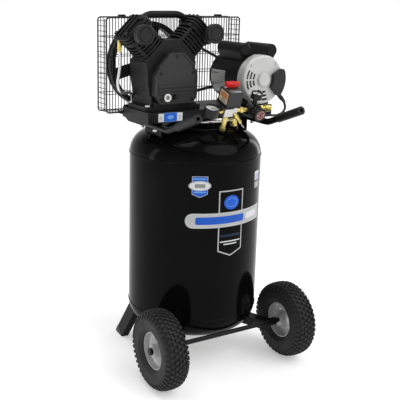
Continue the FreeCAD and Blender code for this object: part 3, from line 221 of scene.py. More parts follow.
PLASTIC = finish("black_plastic", (0.0085, 0.0085, 0.0090), 0.40, spec=0.30, patch=(25, 0.15), wear=0.07,
                 grain=(1400, 0.00005), voronoi=(2200, 0.00004), edge=0.0008, dust_and_painted_top_light=0.01)
SWITCH = finish("switch_housing", (0.014, 0.014, 0.015), 0.36, spec=0.4, patch=(25, 0.12), wear=0.06,
                voronoi=(2600, 0.00003), edge=0.001)
KIDNEY = finish("terminal_cover_plastic", (0.016, 0.016, 0.017), 0.48, spec=0.3, patch=(25, 0.12), wear=0.07,
                voronoi=(2400, 0.00005), edge=0.0012)
RED = finish("red_plastic", (0.62, 0.016, 0.014), 0.32, spec=0.4, patch=(40, 0.1), wear=0.06,
             grain=(1300, 0.00004), edge=0.001)
GRIP = finish("grip_rubber", (0.009, 0.009, 0.009), 0.52, spec=0.3, patch=(24, 0.2), wear=0.09,
              grain=(1400, 0.00012), dust_and_painted_top_light=0.01)
RUBBER = finish("black_rubber", (0.013, 0.013, 0.014), 0.45, spec=0.42, patch=(30, 0.2), wear=0.1,
                grain=(1500, 0.00007))
BELT = finish("belt_rubber", (0.016, 0.016, 0.016), 0.62, spec=0.35, patch=(40, 0.25), wear=0.1,
              grain=(900, 0.0002), voronoi=(1200, 0.0001))
WIRE = finish("coated_wire", (0.008, 0.008, 0.009), 0.36, spec=0.35, patch=(30, 0.2), grain=(1200, 0.00006))
STEEL = finish("ground_steel", (0.48, 0.48, 0.49), 0.28, metal=1.0, patch=(35, 0.1), wear=0.08,
               grain=(800, 0.00005), edge=0.0006)
PISTON = finish("piston_alloy", (0.70, 0.70, 0.69), 0.32, metal=0.95, patch=(30, 0.08), wear=0.07,
                grain=(900, 0.00005), edge=0.0006)
STACK = finish("copper_and_core", (0.50, 0.21, 0.09), 0.4, metal=0.8, patch=(60, 0.3), wear=0.1,
               grain=(900, 0.0001), extra=lamination)
NEEDLE = finish("needle_paint", (0.02, 0.02, 0.02), 0.4, patch=(80, 0.2))
LENS = lens("clear_lens")

# prints, foils and labels
PRINT_GRAIN = (1500, 0.00002)
DIAL = finish("dial_enamel", (0.84, 0.84, 0.82), 0.35, patch=(40, 0.04), wear=0.05, grain=PRINT_GRAIN)
INK = finish("dial_ink", (0.012, 0.012, 0.013), 0.5, patch=(80, 0.2), wear=0.05, grain=PRINT_GRAIN)
SILVER = finish("silver_foil", (0.40, 0.405, 0.41), 0.34, metal=0.30, patch=(14, 0.10), wear=0.09,
                grain=PRINT_GRAIN, stretch=(1, 1, 0.3))
WHITE = finish("white_print", (0.58, 0.59, 0.60), 0.36, patch=(20, 0.05), wear=0.06, grain=PRINT_GRAIN)
BLUE = finish("blue_print", (0.006, 0.085, 0.48), 0.34, spec=0.25, patch=(20, 0.12), wear=0.06,
              grain=PRINT_GRAIN)
NAVY = finish("dark_blue_print", (0.003, 0.016, 0.045), 0.36, spec=0.2, patch=(20, 0.2), grain=PRINT_GRAIN)
SKY = finish("light_blue_print", (0.09, 0.27, 0.62), 0.34, patch=(20, 0.12), wear=0.06, grain=PRINT_GRAIN)
GREY = finish("grey_print", (0.20, 0.20, 0.21), 0.36, patch=(20, 0.1), wear=0.06, grain=PRINT_GRAIN)
PLATE = finish("plate_foil", (0.44, 0.44, 0.43), 0.33, metal=0.5, patch=(14, 0.12), wear=0.08,
               grain=PRINT_GRAIN)
SAGE = finish("green_grey_label", (0.10, 0.135, 0.125), 0.34, patch=(30, 0.1), grain=PRINT_GRAIN)
CREAM = finish("cream_label", (0.56, 0.45, 0.35), 0.42, patch=(30, 0.08), wear=0.06, grain=PRINT_GRAIN)
ORANGE = finish("orange_print", (0.40, 0.15, 0.045), 0.42, patch=(30, 0.15), wear=0.06, grain=PRINT_GRAIN)
MAROON = finish("knob_insert", (0.11, 0.014, 0.016), 0.34, patch=(40, 0.15), wear=0.06, grain=(1500, 0.00003))
PINK = finish("knob_print", (0.62, 0.38, 0.36), 0.4, patch=(40, 0.1), wear=0.05, grain=PRINT_GRAIN)
OIL = finish("sight_oil", (0.085, 0.075, 0.062), 0.12, spec=0.6, coat=0.6, patch=(120, 0.2), wear=0.04)

BY_SLOT = {
    "black_gloss_paint": GLOSS, "black_satin_paint": SATIN, "cast_black": CAST, "tyre_rubber": TYRE,
    "rim_grey": RIM, "zinc_steel": ZINC, "bright_aluminium": TUBE, "motor_bell_aluminium": BELL,
    "brass": BRASS, "black_plastic": PLASTIC, "red_plastic": RED, "grip_rubber": GRIP, "black_rubber": RUBBER,
    "guard_wire": WIRE, "clear_lens": LENS, "steel_inner": STEEL, "piston_aluminium": PISTON,
    "copper_stack": STACK,
}
BY_NODE = {
    "crankcase_cover": COVER, "terminal_cover": KIDNEY, "pressure_switch_cover": SWITCH, "v_belt": BELT,
    "tank_gauge_needle": NEEDLE, "outlet_gauge_needle": NEEDLE, "pump_screws": CAST,
}
for node_name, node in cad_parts.items():
    for part_slot in node.material_slots:
        part_slot.material = BY_NODE.get(node_name) or BY_SLOT[part_slot.material.name.split(".")[0]]

# ---------------------------------------------------------------- mesh helpers


def piece(name, bm, material, body="frame", smooth=35.0):
    """A named object from a bmesh, shaded smooth below the angle, riding on a body."""
    bmesh.ops.recalc_face_normals(bm, faces=bm.faces)
    mesh = bpy.data.meshes.new(name)
    bm.to_mesh(mesh)
    bm.free()
    mesh.materials.append(material)
    mesh.polygons.foreach_set("use_smooth", [True] * len(mesh.polygons))
    mesh.set_sharp_from_angle(angle=math.radians(smooth))
    ob = bpy.data.objects.new(name, mesh)
    bpy.context.scene.collection.objects.link(ob)
    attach(ob, body)
    return ob


def revolve(bm, profile, place, steps=96):
    """A closed ring: profile is a loop of (along, radius), and place(along, radius, angle) gives a point."""
    rings = []
    for i in range(steps):
        angle = 2 * math.pi * i / steps
        rings.append([bm.verts.new(place(a, r, angle)) for a, r in profile])
    count = len(profile)
    for i in range(steps):
        one, two = rings[i], rings[(i + 1) % steps]
        for j in range(count):
            k = (j + 1) % count
            bm.faces.new((one[j], one[k], two[k], two[j]))


def turned(bm, profile, place, steps=48):
    """A solid of revolution whose profile starts and ends on the axis (radius 0)."""
    first = bm.verts.new(place(profile[0][0], 0, 0))
    last = bm.verts.new(place(profile[-1][0], 0, 0))
    rings = []
    for a, r in profile[1:-1]:
        rings.append([bm.verts.new(place(a, r, 2 * math.pi * i / steps)) for i in range(steps)])
    for i in range(steps):
        k = (i + 1) % steps
        bm.faces.new((first, rings[0][k], rings[0][i]))
        bm.faces.new((last, rings[-1][i], rings[-1][k]))
        for one, two in zip(rings, rings[1:]):
            bm.faces.new((one[i], one[k], two[k], two[i]))


def prism(bm, outline, place, low, high, step=0.0):
    """A thin closed sheet: outline is a loop of (s, t), raised from low to high, cut every step along s,
    then laid on a surface by place(s, t, height)."""
    made = bmesh.new()
    bottom = [made.verts.new((s, t, low)) for s, t in outline]
    top = [made.verts.new((s, t, high)) for s, t in outline]
    made.faces.new(bottom)
    made.faces.new(list(reversed(top)))
    for i in range(len(outline)):
        k = (i + 1) % len(outline)
        made.faces.new((bottom[k], bottom[i], top[i], top[k]))
    if step:
        first, last = min(s for s, _ in outline), max(s for s, _ in outline)
        cuts = int((last - first) / step)
        for i in range(1, cuts + 1):
            at = first + (last - first) * i / (cuts + 1)
            bmesh.ops.bisect_plane(made, geom=made.verts[:] + made.edges[:] + made.faces[:],
                                   plane_co=(at, 0, 0), plane_no=(1, 0, 0))
    for v in made.verts:
        v.co = place(*v.co)
    bmesh.ops.triangulate(made, faces=[f for f in made.faces if len(f.verts) > 4])
    spare = bpy.data.meshes.new("spare")
    made.to_mesh(spare)
    made.free()
    bm.from_mesh(spare)
    bpy.data.meshes.remove(spare)


def rectangle(s0, s1, t0, t1, corner=0.0, steps=5):
    """A loop round a rectangle with round corners."""
    if not corner:
        return [(s0, t0), (s1, t0), (s1, t1), (s0, t1)]
    loop = []
    for cs, ct, start in ((s1 - corner, t0 + corner, -90), (s1 - corner, t1 - corner, 0),
                          (s0 + corner, t1 - corner, 90), (s0 + corner, t0 + corner, 180)):
        for i in range(steps + 1):
            a = math.radians(start + 90 * i / steps)
            loop.append((cs + corner * math.cos(a), ct + corner * math.sin(a)))
    return loop


def ellipse(s, t, a, b, steps=40):
    return [(s + a * math.cos(2 * math.pi * i / steps), t + b * math.sin(2 * math.pi * i / steps))
            for i in range(steps)]


def stroke(loop, width):
    """The quads that follow a closed loop, each width wide, drawn inside it."""
    count = len(loop)
    centre = Vector((sum(p[0] for p in loop) / count, sum(p[1] for p in loop) / count))
    inner = []
    for i in range(count):
        p, q, r = (Vector(loop[(i + k) % count]) for k in (-1, 0, 1))
        n0 = Vector((-(q - p).y, (q - p).x)).normalized()
        n1 = Vector((-(r - q).y, (r - q).x)).normalized()
        n = (n0 + n1).normalized()
        n *= width / max(0.3, n.dot(n0))
        inner.append(tuple(q + n if (centre - q).dot(n) > 0 else q - n))
    return [[loop[i], loop[(i + 1) % count], inner[(i + 1) % count], inner[i]] for i in range(count)]


def around(centre, axis, start):
    """place(along, radius, angle) for an axis through centre."""
    axis = Vector(axis).normalized()
    start = (Vector(start) - axis * axis.dot(Vector(start))).normalized()
    side = axis.cross(start)
    return lambda a, r, t: Vector(centre) + axis * a + (start * math.cos(t) + side * math.sin(t)) * r


def tube_along(bm, points, radius, steps=8):
    """A round tube through the points, closed at both ends."""
    rings = []
    up = Vector((0, 0, 1))
    for i, p in enumerate(points):
        before, after = points[max(0, i - 1)], points[min(len(points) - 1, i + 1)]
        along = (Vector(after) - Vector(before)).normalized()
        side = along.cross(up)
        if side.length < 0.05:
            side = along.cross(Vector((0, 1, 0)))
        side.normalize()
        top = side.cross(along)
        ring = []
        for k in range(steps):
            a = 2 * math.pi * k / steps
            ring.append(bm.verts.new(Vector(p) + (side * math.cos(a) + top * math.sin(a)) * radius))
        rings.append(ring)
    for one, two in zip(rings, rings[1:]):
        for k in range(steps):
            j = (k + 1) % steps
            bm.faces.new((one[k], one[j], two[j], two[k]))
    bm.faces.new(rings[0])
    bm.faces.new(list(reversed(rings[-1])))


# ---------------------------------------------------------------- knobby tyres

# Half sections of a tyre in millimetres: (distance from its middle plane, radius), drawn for a wheel
# whose knobs reach KNOB_TOP_R.
KNOB_TOP_R = 0.133
MM = 0.001
CARCASS_MM = [(26.0, 62.2), (30.5, 63.4), (35.6, 68.5), (38.6, 75), (39.9, 76.2), (40.3, 78), (41.0, 84),
              (41.5, 92), (41.5, 99), (42.1, 100.2), (41.9, 102), (40.2, 108), (36.8, 115), (31.5, 120.4),
              (23, 124.2), (12, 126.0), (0, 126.6)]
LINER_MM = [(12, 121.5), (24, 118), (33, 109), (36, 97), (35, 84), (30, 72), (23, 64.5), (23, 62.2)]
LINER_MIDDLE_MM = (0, 122)
TREAD_MM = [(0, 132.9), (16, 132.3), (26, 130.0), (34, 125.8), (39.4, 119.4), (42.8, 111.0)]
GROOVE_MM = [(0, 126.0), (17, 124.9), (26, 122.0), (32.5, 118.2), (37.2, 112.8), (40.0, 107.0)]

# Rows of knobs, from the middle to the shoulder: how far from the middle plane each profile point lies.
ROWS_MM = [(-4.8, 0.0, 4.8), (8.6, 13.0, 17.6), (21.6, 26.4, 31.2), (35.2, 39.4, 42.8)]
PITCHES = 42
KNOB_SHARE, KNOB_SLOPE = 0.58, 0.07               # a knob's length and its end slope, in pitches
SHOULDER_ROOT = 0.94                              # the shoulder knobs' roots lie nearer the middle
TYRE_STEPS = 168


def height(profile, x):
    """Radius of a (x, radius) profile at x, on either side of its middle."""
    for (x0, r0), (x1, r1) in zip(profile, profile[1:]):
        if abs(x) <= x1:
            return r0 + (r1 - r0) * (abs(x) - x0) / (x1 - x0)
    return profile[-1][1]


def knob(bm, place, top, base, a0, a1, slope):
    """One tread block: its top and base profiles, from angle a0 to a1, with sloping ends."""
    grid = []
    for angle, profile in ((a0, base), (a0 + slope, top), (a1 - slope, top), (a1, base)):
        grid.append([bm.verts.new(place(x, r, angle)) for x, r in profile])
    count = len(top)
    for one, two in zip(grid, grid[1:]):
        for j in range(count - 1):
            bm.faces.new((one[j], one[j + 1], two[j + 1], two[j]))
    for j in range(count - 1):
        bm.faces.new((grid[3][j], grid[3][j + 1], grid[0][j + 1], grid[0][j]))
    for j in (0, count - 1):
        bm.faces.new([row[j] for row in grid])


def tyre(name, node, body):
    """The tyre with its inner wall and its rows of knobs, in the place of the plain CAD ring."""
    lo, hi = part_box(node)
    centre = (lo + hi) / 2
    size = (hi.z - lo.z) / 2 / KNOB_TOP_R
    round_axle = around(centre, (1, 0, 0), (0, 0, 1))

    def place(x, r, t):
        return round_axle(x * MM * size, r * MM * size, t)

    bm = bmesh.new()
    loop = CARCASS_MM + [(-x, r) for x, r in reversed(CARCASS_MM[:-1])]
    loop += [(-x, r) for x, r in reversed(LINER_MM)] + [LINER_MIDDLE_MM] + LINER_MM
    revolve(bm, loop, place, TYRE_STEPS)
    pitch = 2 * math.pi / PITCHES
    for number, row in enumerate(ROWS_MM):
        sides = (1,) if number == 0 else (-1, 1)
        for side in sides:
            xs = [side * x for x in row]
            roots = [x * (SHOULDER_ROOT if number == len(ROWS_MM) - 1 else 1.0) for x in xs]
            top = [(x, height(TREAD_MM, x)) for x in xs]
            base = [(x, height(GROOVE_MM, x)) for x in roots]
            for i in range(PITCHES):
                at = pitch * (i + 0.5 * (number % 2))
                knob(bm, place, top, base, at, at + pitch * KNOB_SHARE, pitch * KNOB_SLOPE)
    ob = piece(name, bm, TYRE, body, 30)
    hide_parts(node)
    return ob


tyre("left_knobby_tyre", "left_tyre", "left_wheel")
tyre("right_knobby_tyre", "right_tyre", "right_wheel")


# ---------------------------------------------------------------- axle ends

WASHER = [(0.0004, 0.0084), (0.0004, 0.0160), (0.0008, 0.0166), (0.0020, 0.0166), (0.0024, 0.0160),
          (0.0024, 0.0084)]                       # (distance from the rim, radius)
PIN_WIRE_R, PIN_EYE_R, PIN_EYE_RISE = 0.0009, 0.0032, 0.0135
PIN_FROM_TIP = 0.004
PIN_LEG = [(0.0009, 0.0108), (0.0009, -0.0095), (0.003, -0.0125), (0.007, -0.0135)]     # (along Y, along Z)


def axle_end(side, name):
    """Flat washer, and a split pin through the axle, outside the wheel."""
    lo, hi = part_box("axle")
    centre = (lo + hi) / 2
    tip = hi.x if side > 0 else lo.x
    wheel_lo, wheel_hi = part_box(name + "_rim")
    face = wheel_hi.x if side > 0 else wheel_lo.x
    bm = bmesh.new()
    washer = around((face, centre.y, centre.z), (side, 0, 0), (0, 0, 1))
    revolve(bm, WASHER, washer, 48)
    middle = Vector((tip - side * PIN_FROM_TIP, centre.y, centre.z))
    for way in (1, -1):
        tube_along(bm, [middle + Vector((0, way * y, z)) for y, z in PIN_LEG], PIN_WIRE_R)
    eye = []
    for degrees in range(-60, 241, 30):
        t = math.radians(degrees)
        eye.append(middle + Vector((0, PIN_EYE_R * math.cos(t), PIN_EYE_RISE + PIN_EYE_R * math.sin(t))))
    tube_along(bm, eye, PIN_WIRE_R)
    return piece(name + "_axle_pin", bm, ZINC, "frame")


axle_end(-1, "left")
axle_end(1, "right")


# ---------------------------------------------------------------- weld beads on the tank

BEAD_FOOT, BEAD_RISE, BEAD_HALF_WIDTH = 0.0002, 0.0013, 0.0026
RIPPLES, RIPPLE_RISE, RIPPLE_JITTER = 180, 0.00022, 0.00006


def weld(name, z, seed):
    """A rippled bead over a seam."""
    rng = random.Random(seed)
    bm = bmesh.new()
    steps, count = 720, 7
    rings = []
    for i in range(steps):
        t = 2 * math.pi * i / steps
        ripple = RIPPLE_RISE * math.cos(t * RIPPLES) + rng.uniform(-RIPPLE_JITTER, RIPPLE_JITTER)
        ring = []
        for k in range(count):
            a = math.pi * k / (count - 1)
            r = TANK_R + BEAD_FOOT + (BEAD_RISE + ripple) * math.sin(a)
            place = (r * math.sin(t), TANK_Y - r * math.cos(t), z + BEAD_HALF_WIDTH * math.cos(a))
            ring.append(bm.verts.new(place))
        rings.append(ring)
    for i in range(steps):
        one, two = rings[i], rings[(i + 1) % steps]
        for k in range(count):
            j = (k + 1) % count
            bm.faces.new((one[k], one[j], two[j], two[k]))
    return piece(name, bm, GLOSS, "frame", 60)


weld("upper_weld_ripple", TANK_HI.z, 3)
weld("lower_weld_ripple", TANK_LO.z, 4)


# ---------------------------------------------------------------- tank graphics

def on_tank(s, z, h):
    """s runs round the shell from the front, to the right; h is the height over the shell."""
    a = s / TANK_R
    return Vector(((TANK_R + h) * math.sin(a), TANK_Y - (TANK_R + h) * math.cos(a), z))


def arc(degrees):
    """Length round the shell."""
    return TANK_R * math.radians(degrees)


FIRST_LIFT, LAYER_LIFT, PRINT_THICK = 0.00012, 0.0002, 0.00016


def graphic(name, loops, material, layer, place=on_tank, step=0.008):
    """Thin printed shapes in one layer over a surface."""
    bm = bmesh.new()
    low = FIRST_LIFT + LAYER_LIFT * layer
    for loop in loops:
        prism(bm, loop, place, low, low + PRINT_THICK, step)
    return piece(name, bm, material, "frame", 25)


def half_round(s0, s1, t0, t1, corner):
    """A rectangle whose left corners are round and right ones square."""
    return [(s1, t0), (s1, t1)] + [p for p in rectangle(s0, s1, t0, t1, corner, 8) if p[0] <= s0 + corner]


# a silver band, round at the left, with a plain blue and a plain white bar
BAND_Z0, BAND_Z1 = 0.5165, 0.5670
graphic("tank_band", [half_round(arc(-39.5), arc(40), BAND_Z0, BAND_Z1, 0.0250)], SILVER, 1)
graphic("tank_band_bar", [rectangle(arc(-31), arc(14), 0.5290, 0.5545, 0.006, 4)], BLUE, 2, step=0.006)
graphic("tank_band_end_bar", [rectangle(arc(17), arc(33), 0.5310, 0.5535, 0.005, 4)], WHITE, 2, step=0.006)
rule = half_round(arc(-38.6), arc(39.4), BAND_Z0 + 0.0025, BAND_Z1 - 0.0025, 0.0225)
graphic("tank_band_rule", stroke(rule, 0.0009), WHITE, 2)

# an outlined upright panel behind the band
PANEL_S0, PANEL_S1 = arc(-11.6), arc(12.4)
PANEL_Z0, PANEL_Z1 = 0.4340, 0.6405
PANEL_POINT = 0.0200
MIDDLE = (PANEL_S0 + PANEL_S1) / 2
DISC_Z = 0.5990
panel = [(PANEL_S0, PANEL_Z0), (MIDDLE, PANEL_Z0 - PANEL_POINT), (PANEL_S1, PANEL_Z0), (PANEL_S1, PANEL_Z1),
         (PANEL_S0, PANEL_Z1)]
graphic("tank_panel_outline", stroke(panel, 0.0042), SILVER, 0)
graphic("tank_panel_disc", [ellipse(MIDDLE, DISC_Z, 0.029, 0.024)], BLUE, 0)
graphic("tank_panel_disc_ring", stroke(ellipse(MIDDLE, DISC_Z, 0.0205, 0.0160), 0.0018), SKY, 1)
graphic("tank_panel_tint", [rectangle(MIDDLE - 0.038, MIDDLE + 0.038, 0.4820, 0.4900)], NAVY, 0)
rows = [rectangle(MIDDLE - 0.040, MIDDLE + 0.040, 0.4640, 0.4680),
        rectangle(MIDDLE - 0.026, MIDDLE + 0.026, 0.4545, 0.4585)]
graphic("tank_panel_rules", rows, WHITE, 0)

# a small badge: blue field, pale oval
BADGE_S0, BADGE_MIDDLE, BADGE_S1 = arc(-34.4), arc(-27.9), arc(-21.4)
BADGE_TIP, BADGE_Z0, BADGE_Z1 = 0.6205, 0.6320, 0.6915
OVAL_Z = 0.6600
field = [(BADGE_S0, BADGE_Z0), (BADGE_MIDDLE, BADGE_TIP), (BADGE_S1, BADGE_Z0), (BADGE_S1, BADGE_Z1),
         (BADGE_S0, BADGE_Z1)]
graphic("tank_badge_field", [field], BLUE, 0)
graphic("tank_badge_edge", stroke(field, 0.0016), SILVER, 1)
graphic("tank_badge_bars", [rectangle(arc(-33.6), arc(-22.2), 0.6805, 0.6855),
                            rectangle(arc(-33.0), arc(-22.8), 0.6365, 0.6410)], SKY, 1)
graphic("tank_badge_oval", [ellipse(BADGE_MIDDLE, OVAL_Z, 0.0365, 0.0165)], WHITE, 2)
graphic("tank_badge_bead", [rectangle(arc(-32.2), arc(-23.6), 0.6535, 0.6665, 0.004, 3)], GREY, 3, step=0.006)
graphic("tank_badge_oval_rule", stroke(ellipse(BADGE_MIDDLE, OVAL_Z, 0.0345, 0.0148), 0.0008), GREY, 3,
        step=0.006)

# two small labels at the right
LABEL_S0, LABEL_S1 = arc(29.5), arc(38.5)
bars_upper = [rectangle(arc(30.5), arc(37.5), z, z + 0.0022) for z in (0.659, 0.665, 0.671)]
bars_lower = [rectangle(arc(30.5), arc(37.5), z, z + 0.0016) for z in (0.631, 0.636, 0.641)]
graphic("tank_label_upper", [rectangle(LABEL_S0, LABEL_S1, 0.654, 0.684, 0.002, 2)], WHITE, 0)
graphic("tank_label_upper_bars", bars_upper, BLUE, 1)
graphic("tank_label_lower", [rectangle(LABEL_S0, LABEL_S1, 0.626, 0.650, 0.002, 2)], GREY, 0)
graphic("tank_label_lower_bars", bars_lower, WHITE, 1)


# ---------------------------------------------------------------- platform label

def on_flange(s, z, h):
    """s is X and h the height over the platform's front flange."""
    return Vector((s, DECK_LO.y - h, z))


field = rectangle(-0.1880, -0.1385, 0.8585, 0.8875, 0.005, 4)
graphic("platform_label", [rectangle(-0.2080, -0.1180, 0.8590, 0.8860, 0.0015, 2)], WHITE, 0, on_flange, 0)
graphic("platform_label_field", [field], BLUE, 1, on_flange, 0)
graphic("platform_label_edge", stroke(field, 0.0012), SKY, 2, on_flange, 0)
graphic("platform_label_disc", [ellipse(-0.1632, 0.8730, 0.0120, 0.0065)], SKY, 2, on_flange, 0)
marks = [rectangle(x, x + 0.010, z, z + 0.0016) for x in (-0.2045, -0.1325) for z in (0.8660, 0.8705, 0.8750)]
graphic("platform_label_rows", marks, GREY, 1, on_flange, 0)


# ---------------------------------------------------------------- motor nameplate

def on_motor(s, y, h):
    """s runs round the shell in metres of arc, from the right-hand side over the top."""
    a = s / MOTOR_R
    return Vector((MOTOR_X + (MOTOR_R + h) * math.cos(a), y, MOTOR_Z + (MOTOR_R + h) * math.sin(a)))


def turn(degrees):
    """Length round the motor's shell."""
    return MOTOR_R * math.radians(degrees)


PLATE_S0, PLATE_S1 = turn(164), turn(221)
PLATE_Y0, PLATE_Y1 = TANK_Y - 0.012, TANK_Y + 0.072
CUT = 0.004                                       # length of a flat along the motor's curve
plate_edge = rectangle(turn(165), turn(220), PLATE_Y0 + 0.001, PLATE_Y1 - 0.001)
rows = [rectangle(turn(170), turn(173.5), PLATE_Y0 + 0.040, PLATE_Y1 - 0.006)]
for i in range(9):
    a = 178 + 4.2 * i
    rows.append(rectangle(turn(a), turn(a + 0.9), PLATE_Y0 + 0.005 + 0.004 * (i % 3), PLATE_Y1 - 0.010))
graphic("motor_nameplate", [rectangle(PLATE_S0, PLATE_S1, PLATE_Y0, PLATE_Y1, 0.002, 2)], PLATE, 0,
        on_motor, CUT)
graphic("motor_nameplate_rows", rows, GREY, 1, on_motor, CUT)
graphic("motor_nameplate_edge", stroke(plate_edge, 0.0012), WHITE, 1, on_motor, CUT)


# ---------------------------------------------------------------- pressure switch labels

SWITCH_LEFT, SWITCH_TOP = -0.027, 0.156           # faces of the cover, along u and w


def on_switch_side(s, t, h):
    """s is v, t is w and h the height over the cover's left face."""
    return lean(SWITCH_LEFT - h, s, t)


def on_switch_top(s, t, h):
    """s is u, t is v and h the height over the cover's top."""
    return lean(s, t, SWITCH_TOP + h)


graphic("switch_side_label", [rectangle(-0.0230, 0.0215, 0.1135, 0.1510, 0.0015, 2)], CREAM, 0,
        on_switch_side, 0)
graphic("switch_side_label_field", [rectangle(-0.0200, 0.0180, 0.1290, 0.1480, 0.001, 2)], ORANGE, 1,
        on_switch_side, 0)
rows = [rectangle(-0.019, 0.012 - 0.004 * (i % 2), z, z + 0.0012) for i, z in
        enumerate((0.1165, 0.1195, 0.1225, 0.1255))]
graphic("switch_side_label_rows", rows, INK, 1, on_switch_side, 0)
graphic("switch_top_label", [rectangle(-0.0170, 0.0235, -0.0255, -0.0060, 0.0012, 2)], SAGE, 0,
        on_switch_top, 0)
graphic("switch_top_label_field", [rectangle(0.0005, 0.0205, -0.0225, -0.0135, 0.001, 2)], WHITE, 1,
        on_switch_top, 0)
rows = [rectangle(0.002, 0.017, t, t + 0.0011) for t in (-0.0208, -0.0182, -0.0157)]
graphic("switch_top_label_rows", rows, INK, 2, on_switch_top, 0)

# the switch cover's screw
SCREW_HEAD = [(0, 0), (0, 0.0044), (0.0012, 0.0044), (0.0019, 0.0036), (0.0022, 0.0020), (0.0016, 0.0019),
              (0.0014, 0)]
bm = bmesh.new()
turned(bm, SCREW_HEAD, around(lean(-0.016, 0.016, SWITCH_TOP), LEAN_UP, (1, 0, 0)), 32)
piece("switch_cover_screw", bm, ZINC, "frame")


# ---------------------------------------------------------------- gauge dials

SCALE_FIRST, SCALE_LAST = 225, -45                # degrees, anticlockwise from the right
TICK_END, LONG_TICK, SHORT_TICK = 0.94, 0.80, 0.86       # shares of the dial's radius
FIGURE_AT, FIGURE_SIZE, HUB = 0.62, 0.24, 0.10


def dial(name, u, w, radius, biggest, step):
    """A dial face at height w of the manifold, with ticks and numbers from 0 to biggest."""
    bm = bmesh.new()

    def place(s, t, h):
        return lean(u + s, t, w + h)

    ticks = 4 * (biggest // step)
    for i in range(ticks + 1):
        a = math.radians(SCALE_FIRST + (SCALE_LAST - SCALE_FIRST) * i / ticks)
        long_tick = i % 4 == 0
        r0, r1 = radius * (LONG_TICK if long_tick else SHORT_TICK), radius * TICK_END
        half = 0.00035 if long_tick else 0.0002
        c, s = math.cos(a), math.sin(a)
        loop = [(r0 * c - half * s, r0 * s + half * c), (r1 * c - half * s, r1 * s + half * c),
                (r1 * c + half * s, r1 * s - half * c), (r0 * c + half * s, r0 * s - half * c)]
        prism(bm, loop, place, 0.00008, 0.0002)
    for number in range(0, biggest + 1, step):
        a = math.radians(SCALE_FIRST + (SCALE_LAST - SCALE_FIRST) * number / biggest)
        curve = bpy.data.curves.new("figure", "FONT")
        curve.body = str(number)
        curve.size = radius * FIGURE_SIZE
        curve.align_x = "CENTER"
        curve.align_y = "CENTER"
        curve.extrude = 0.00005
        curve.resolution_u = 2
        figure = bpy.data.objects.new("figure", curve)
        bpy.context.scene.collection.objects.link(figure)
        bpy.context.view_layer.update()
        mesh = bpy.data.meshes.new_from_object(figure.evaluated_get(bpy.context.evaluated_depsgraph_get()))
        at = (radius * FIGURE_AT * math.cos(a), radius * FIGURE_AT * math.sin(a))
        for v in mesh.vertices:
            v.co = place(at[0] + v.co.x, at[1] + v.co.y, 0.00014 + v.co.z)
        bm.from_mesh(mesh)
        bpy.data.objects.remove(figure)
        bpy.data.curves.remove(curve)
        bpy.data.meshes.remove(mesh)
    pivot = around(lean(u, 0, w), LEAN_UP, (1, 0, 0))
    turned(bm, [(0.0001, 0), (0.0001, radius * HUB), (0.0002, radius * HUB), (0.0002, 0)], pivot, 24)
    piece(name + "_scale", bm, INK, "frame", 30)
    bm = bmesh.new()
    turned(bm, [(-0.0002, 0), (-0.0002, radius), (0.00005, radius), (0.00005, 0)], pivot, 64)
    piece(name + "_dial", bm, DIAL, "frame", 30)


TANK_GAUGE_U, REGULATOR_U = -0.061, 0.105
dial("tank_gauge", TANK_GAUGE_U, 0.0897, 0.0222, 200, 50)
dial("outlet_gauge", REGULATOR_U, 0.1317, 0.0162, 160, 40)

# ---------------------------------------------------------------- regulator knob insert

KNOB_V, KNOB_W = -0.046, 0.078                    # the knob's front face and its middle
MARK_LOW, MARK_HIGH = 0.0006, 0.0009              # the print's heights over that face


def on_knob(s, t, h):
    """s is to the right, t up and h out from the knob's face."""
    return lean(REGULATOR_U + s, KNOB_V - h, KNOB_W + t)


knob_face = around(on_knob(0, 0, 0), LEAN_FRONT, (1, 0, 0))
bm = bmesh.new()
turned(bm, [(-0.001, 0), (-0.001, 0.0168), (0.0002, 0.0168), (0.0007, 0.0162), (0.0007, 0)], knob_face, 64)
piece("regulator_knob_insert", bm, MAROON, "regulator_knob")
bm = bmesh.new()
for inner, outer in ((0.0136, 0.0148), (0.0060, 0.0068)):
    ring = [(MARK_LOW, inner), (MARK_LOW, outer), (MARK_HIGH, outer), (MARK_HIGH, inner)]
    revolve(bm, ring, knob_face, 64)
for way in (-1, 1):
    tip = [(way * 0.0114, 0.0034), (way * 0.0084, 0.0004), (way * 0.0136, 0.0004)]
    stem = [(way * 0.0106, -0.0040), (way * 0.0122, -0.0040), (way * 0.0122, 0.0006), (way * 0.0106, 0.0006)]
    prism(bm, tip, on_knob, MARK_LOW, MARK_HIGH)
    prism(bm, stem, on_knob, MARK_LOW, MARK_HIGH)
piece("regulator_knob_marks", bm, PINK, "regulator_knob")

# ---------------------------------------------------------------- sight glass

GLASS_LO, GLASS_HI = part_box("sight_glass")
GLASS_DEPTH = 0.002                               # the window lies behind the bezel's front face
window = ((GLASS_LO.x + GLASS_HI.x) / 2, GLASS_LO.y + GLASS_DEPTH, (GLASS_LO.z + GLASS_HI.z) / 2)
glass = around(window, (0, -1, 0), (0, 0, 1))
bm = bmesh.new()
turned(bm, [(-0.0010, 0), (-0.0010, 0.0068), (0.0, 0.0068), (0.0008, 0.0050), (0.0012, 0)], glass, 48)
piece("sight_glass_window", bm, OIL, "frame")
bm = bmesh.new()
revolve(bm, [(-0.0005, 0.0022), (-0.0005, 0.0030), (0.0014, 0.0030), (0.0014, 0.0022)], glass, 32)
piece("sight_glass_level_ring", bm, ZINC, "frame")

# ---------------------------------------------------------------- strain reliefs on the motor lead

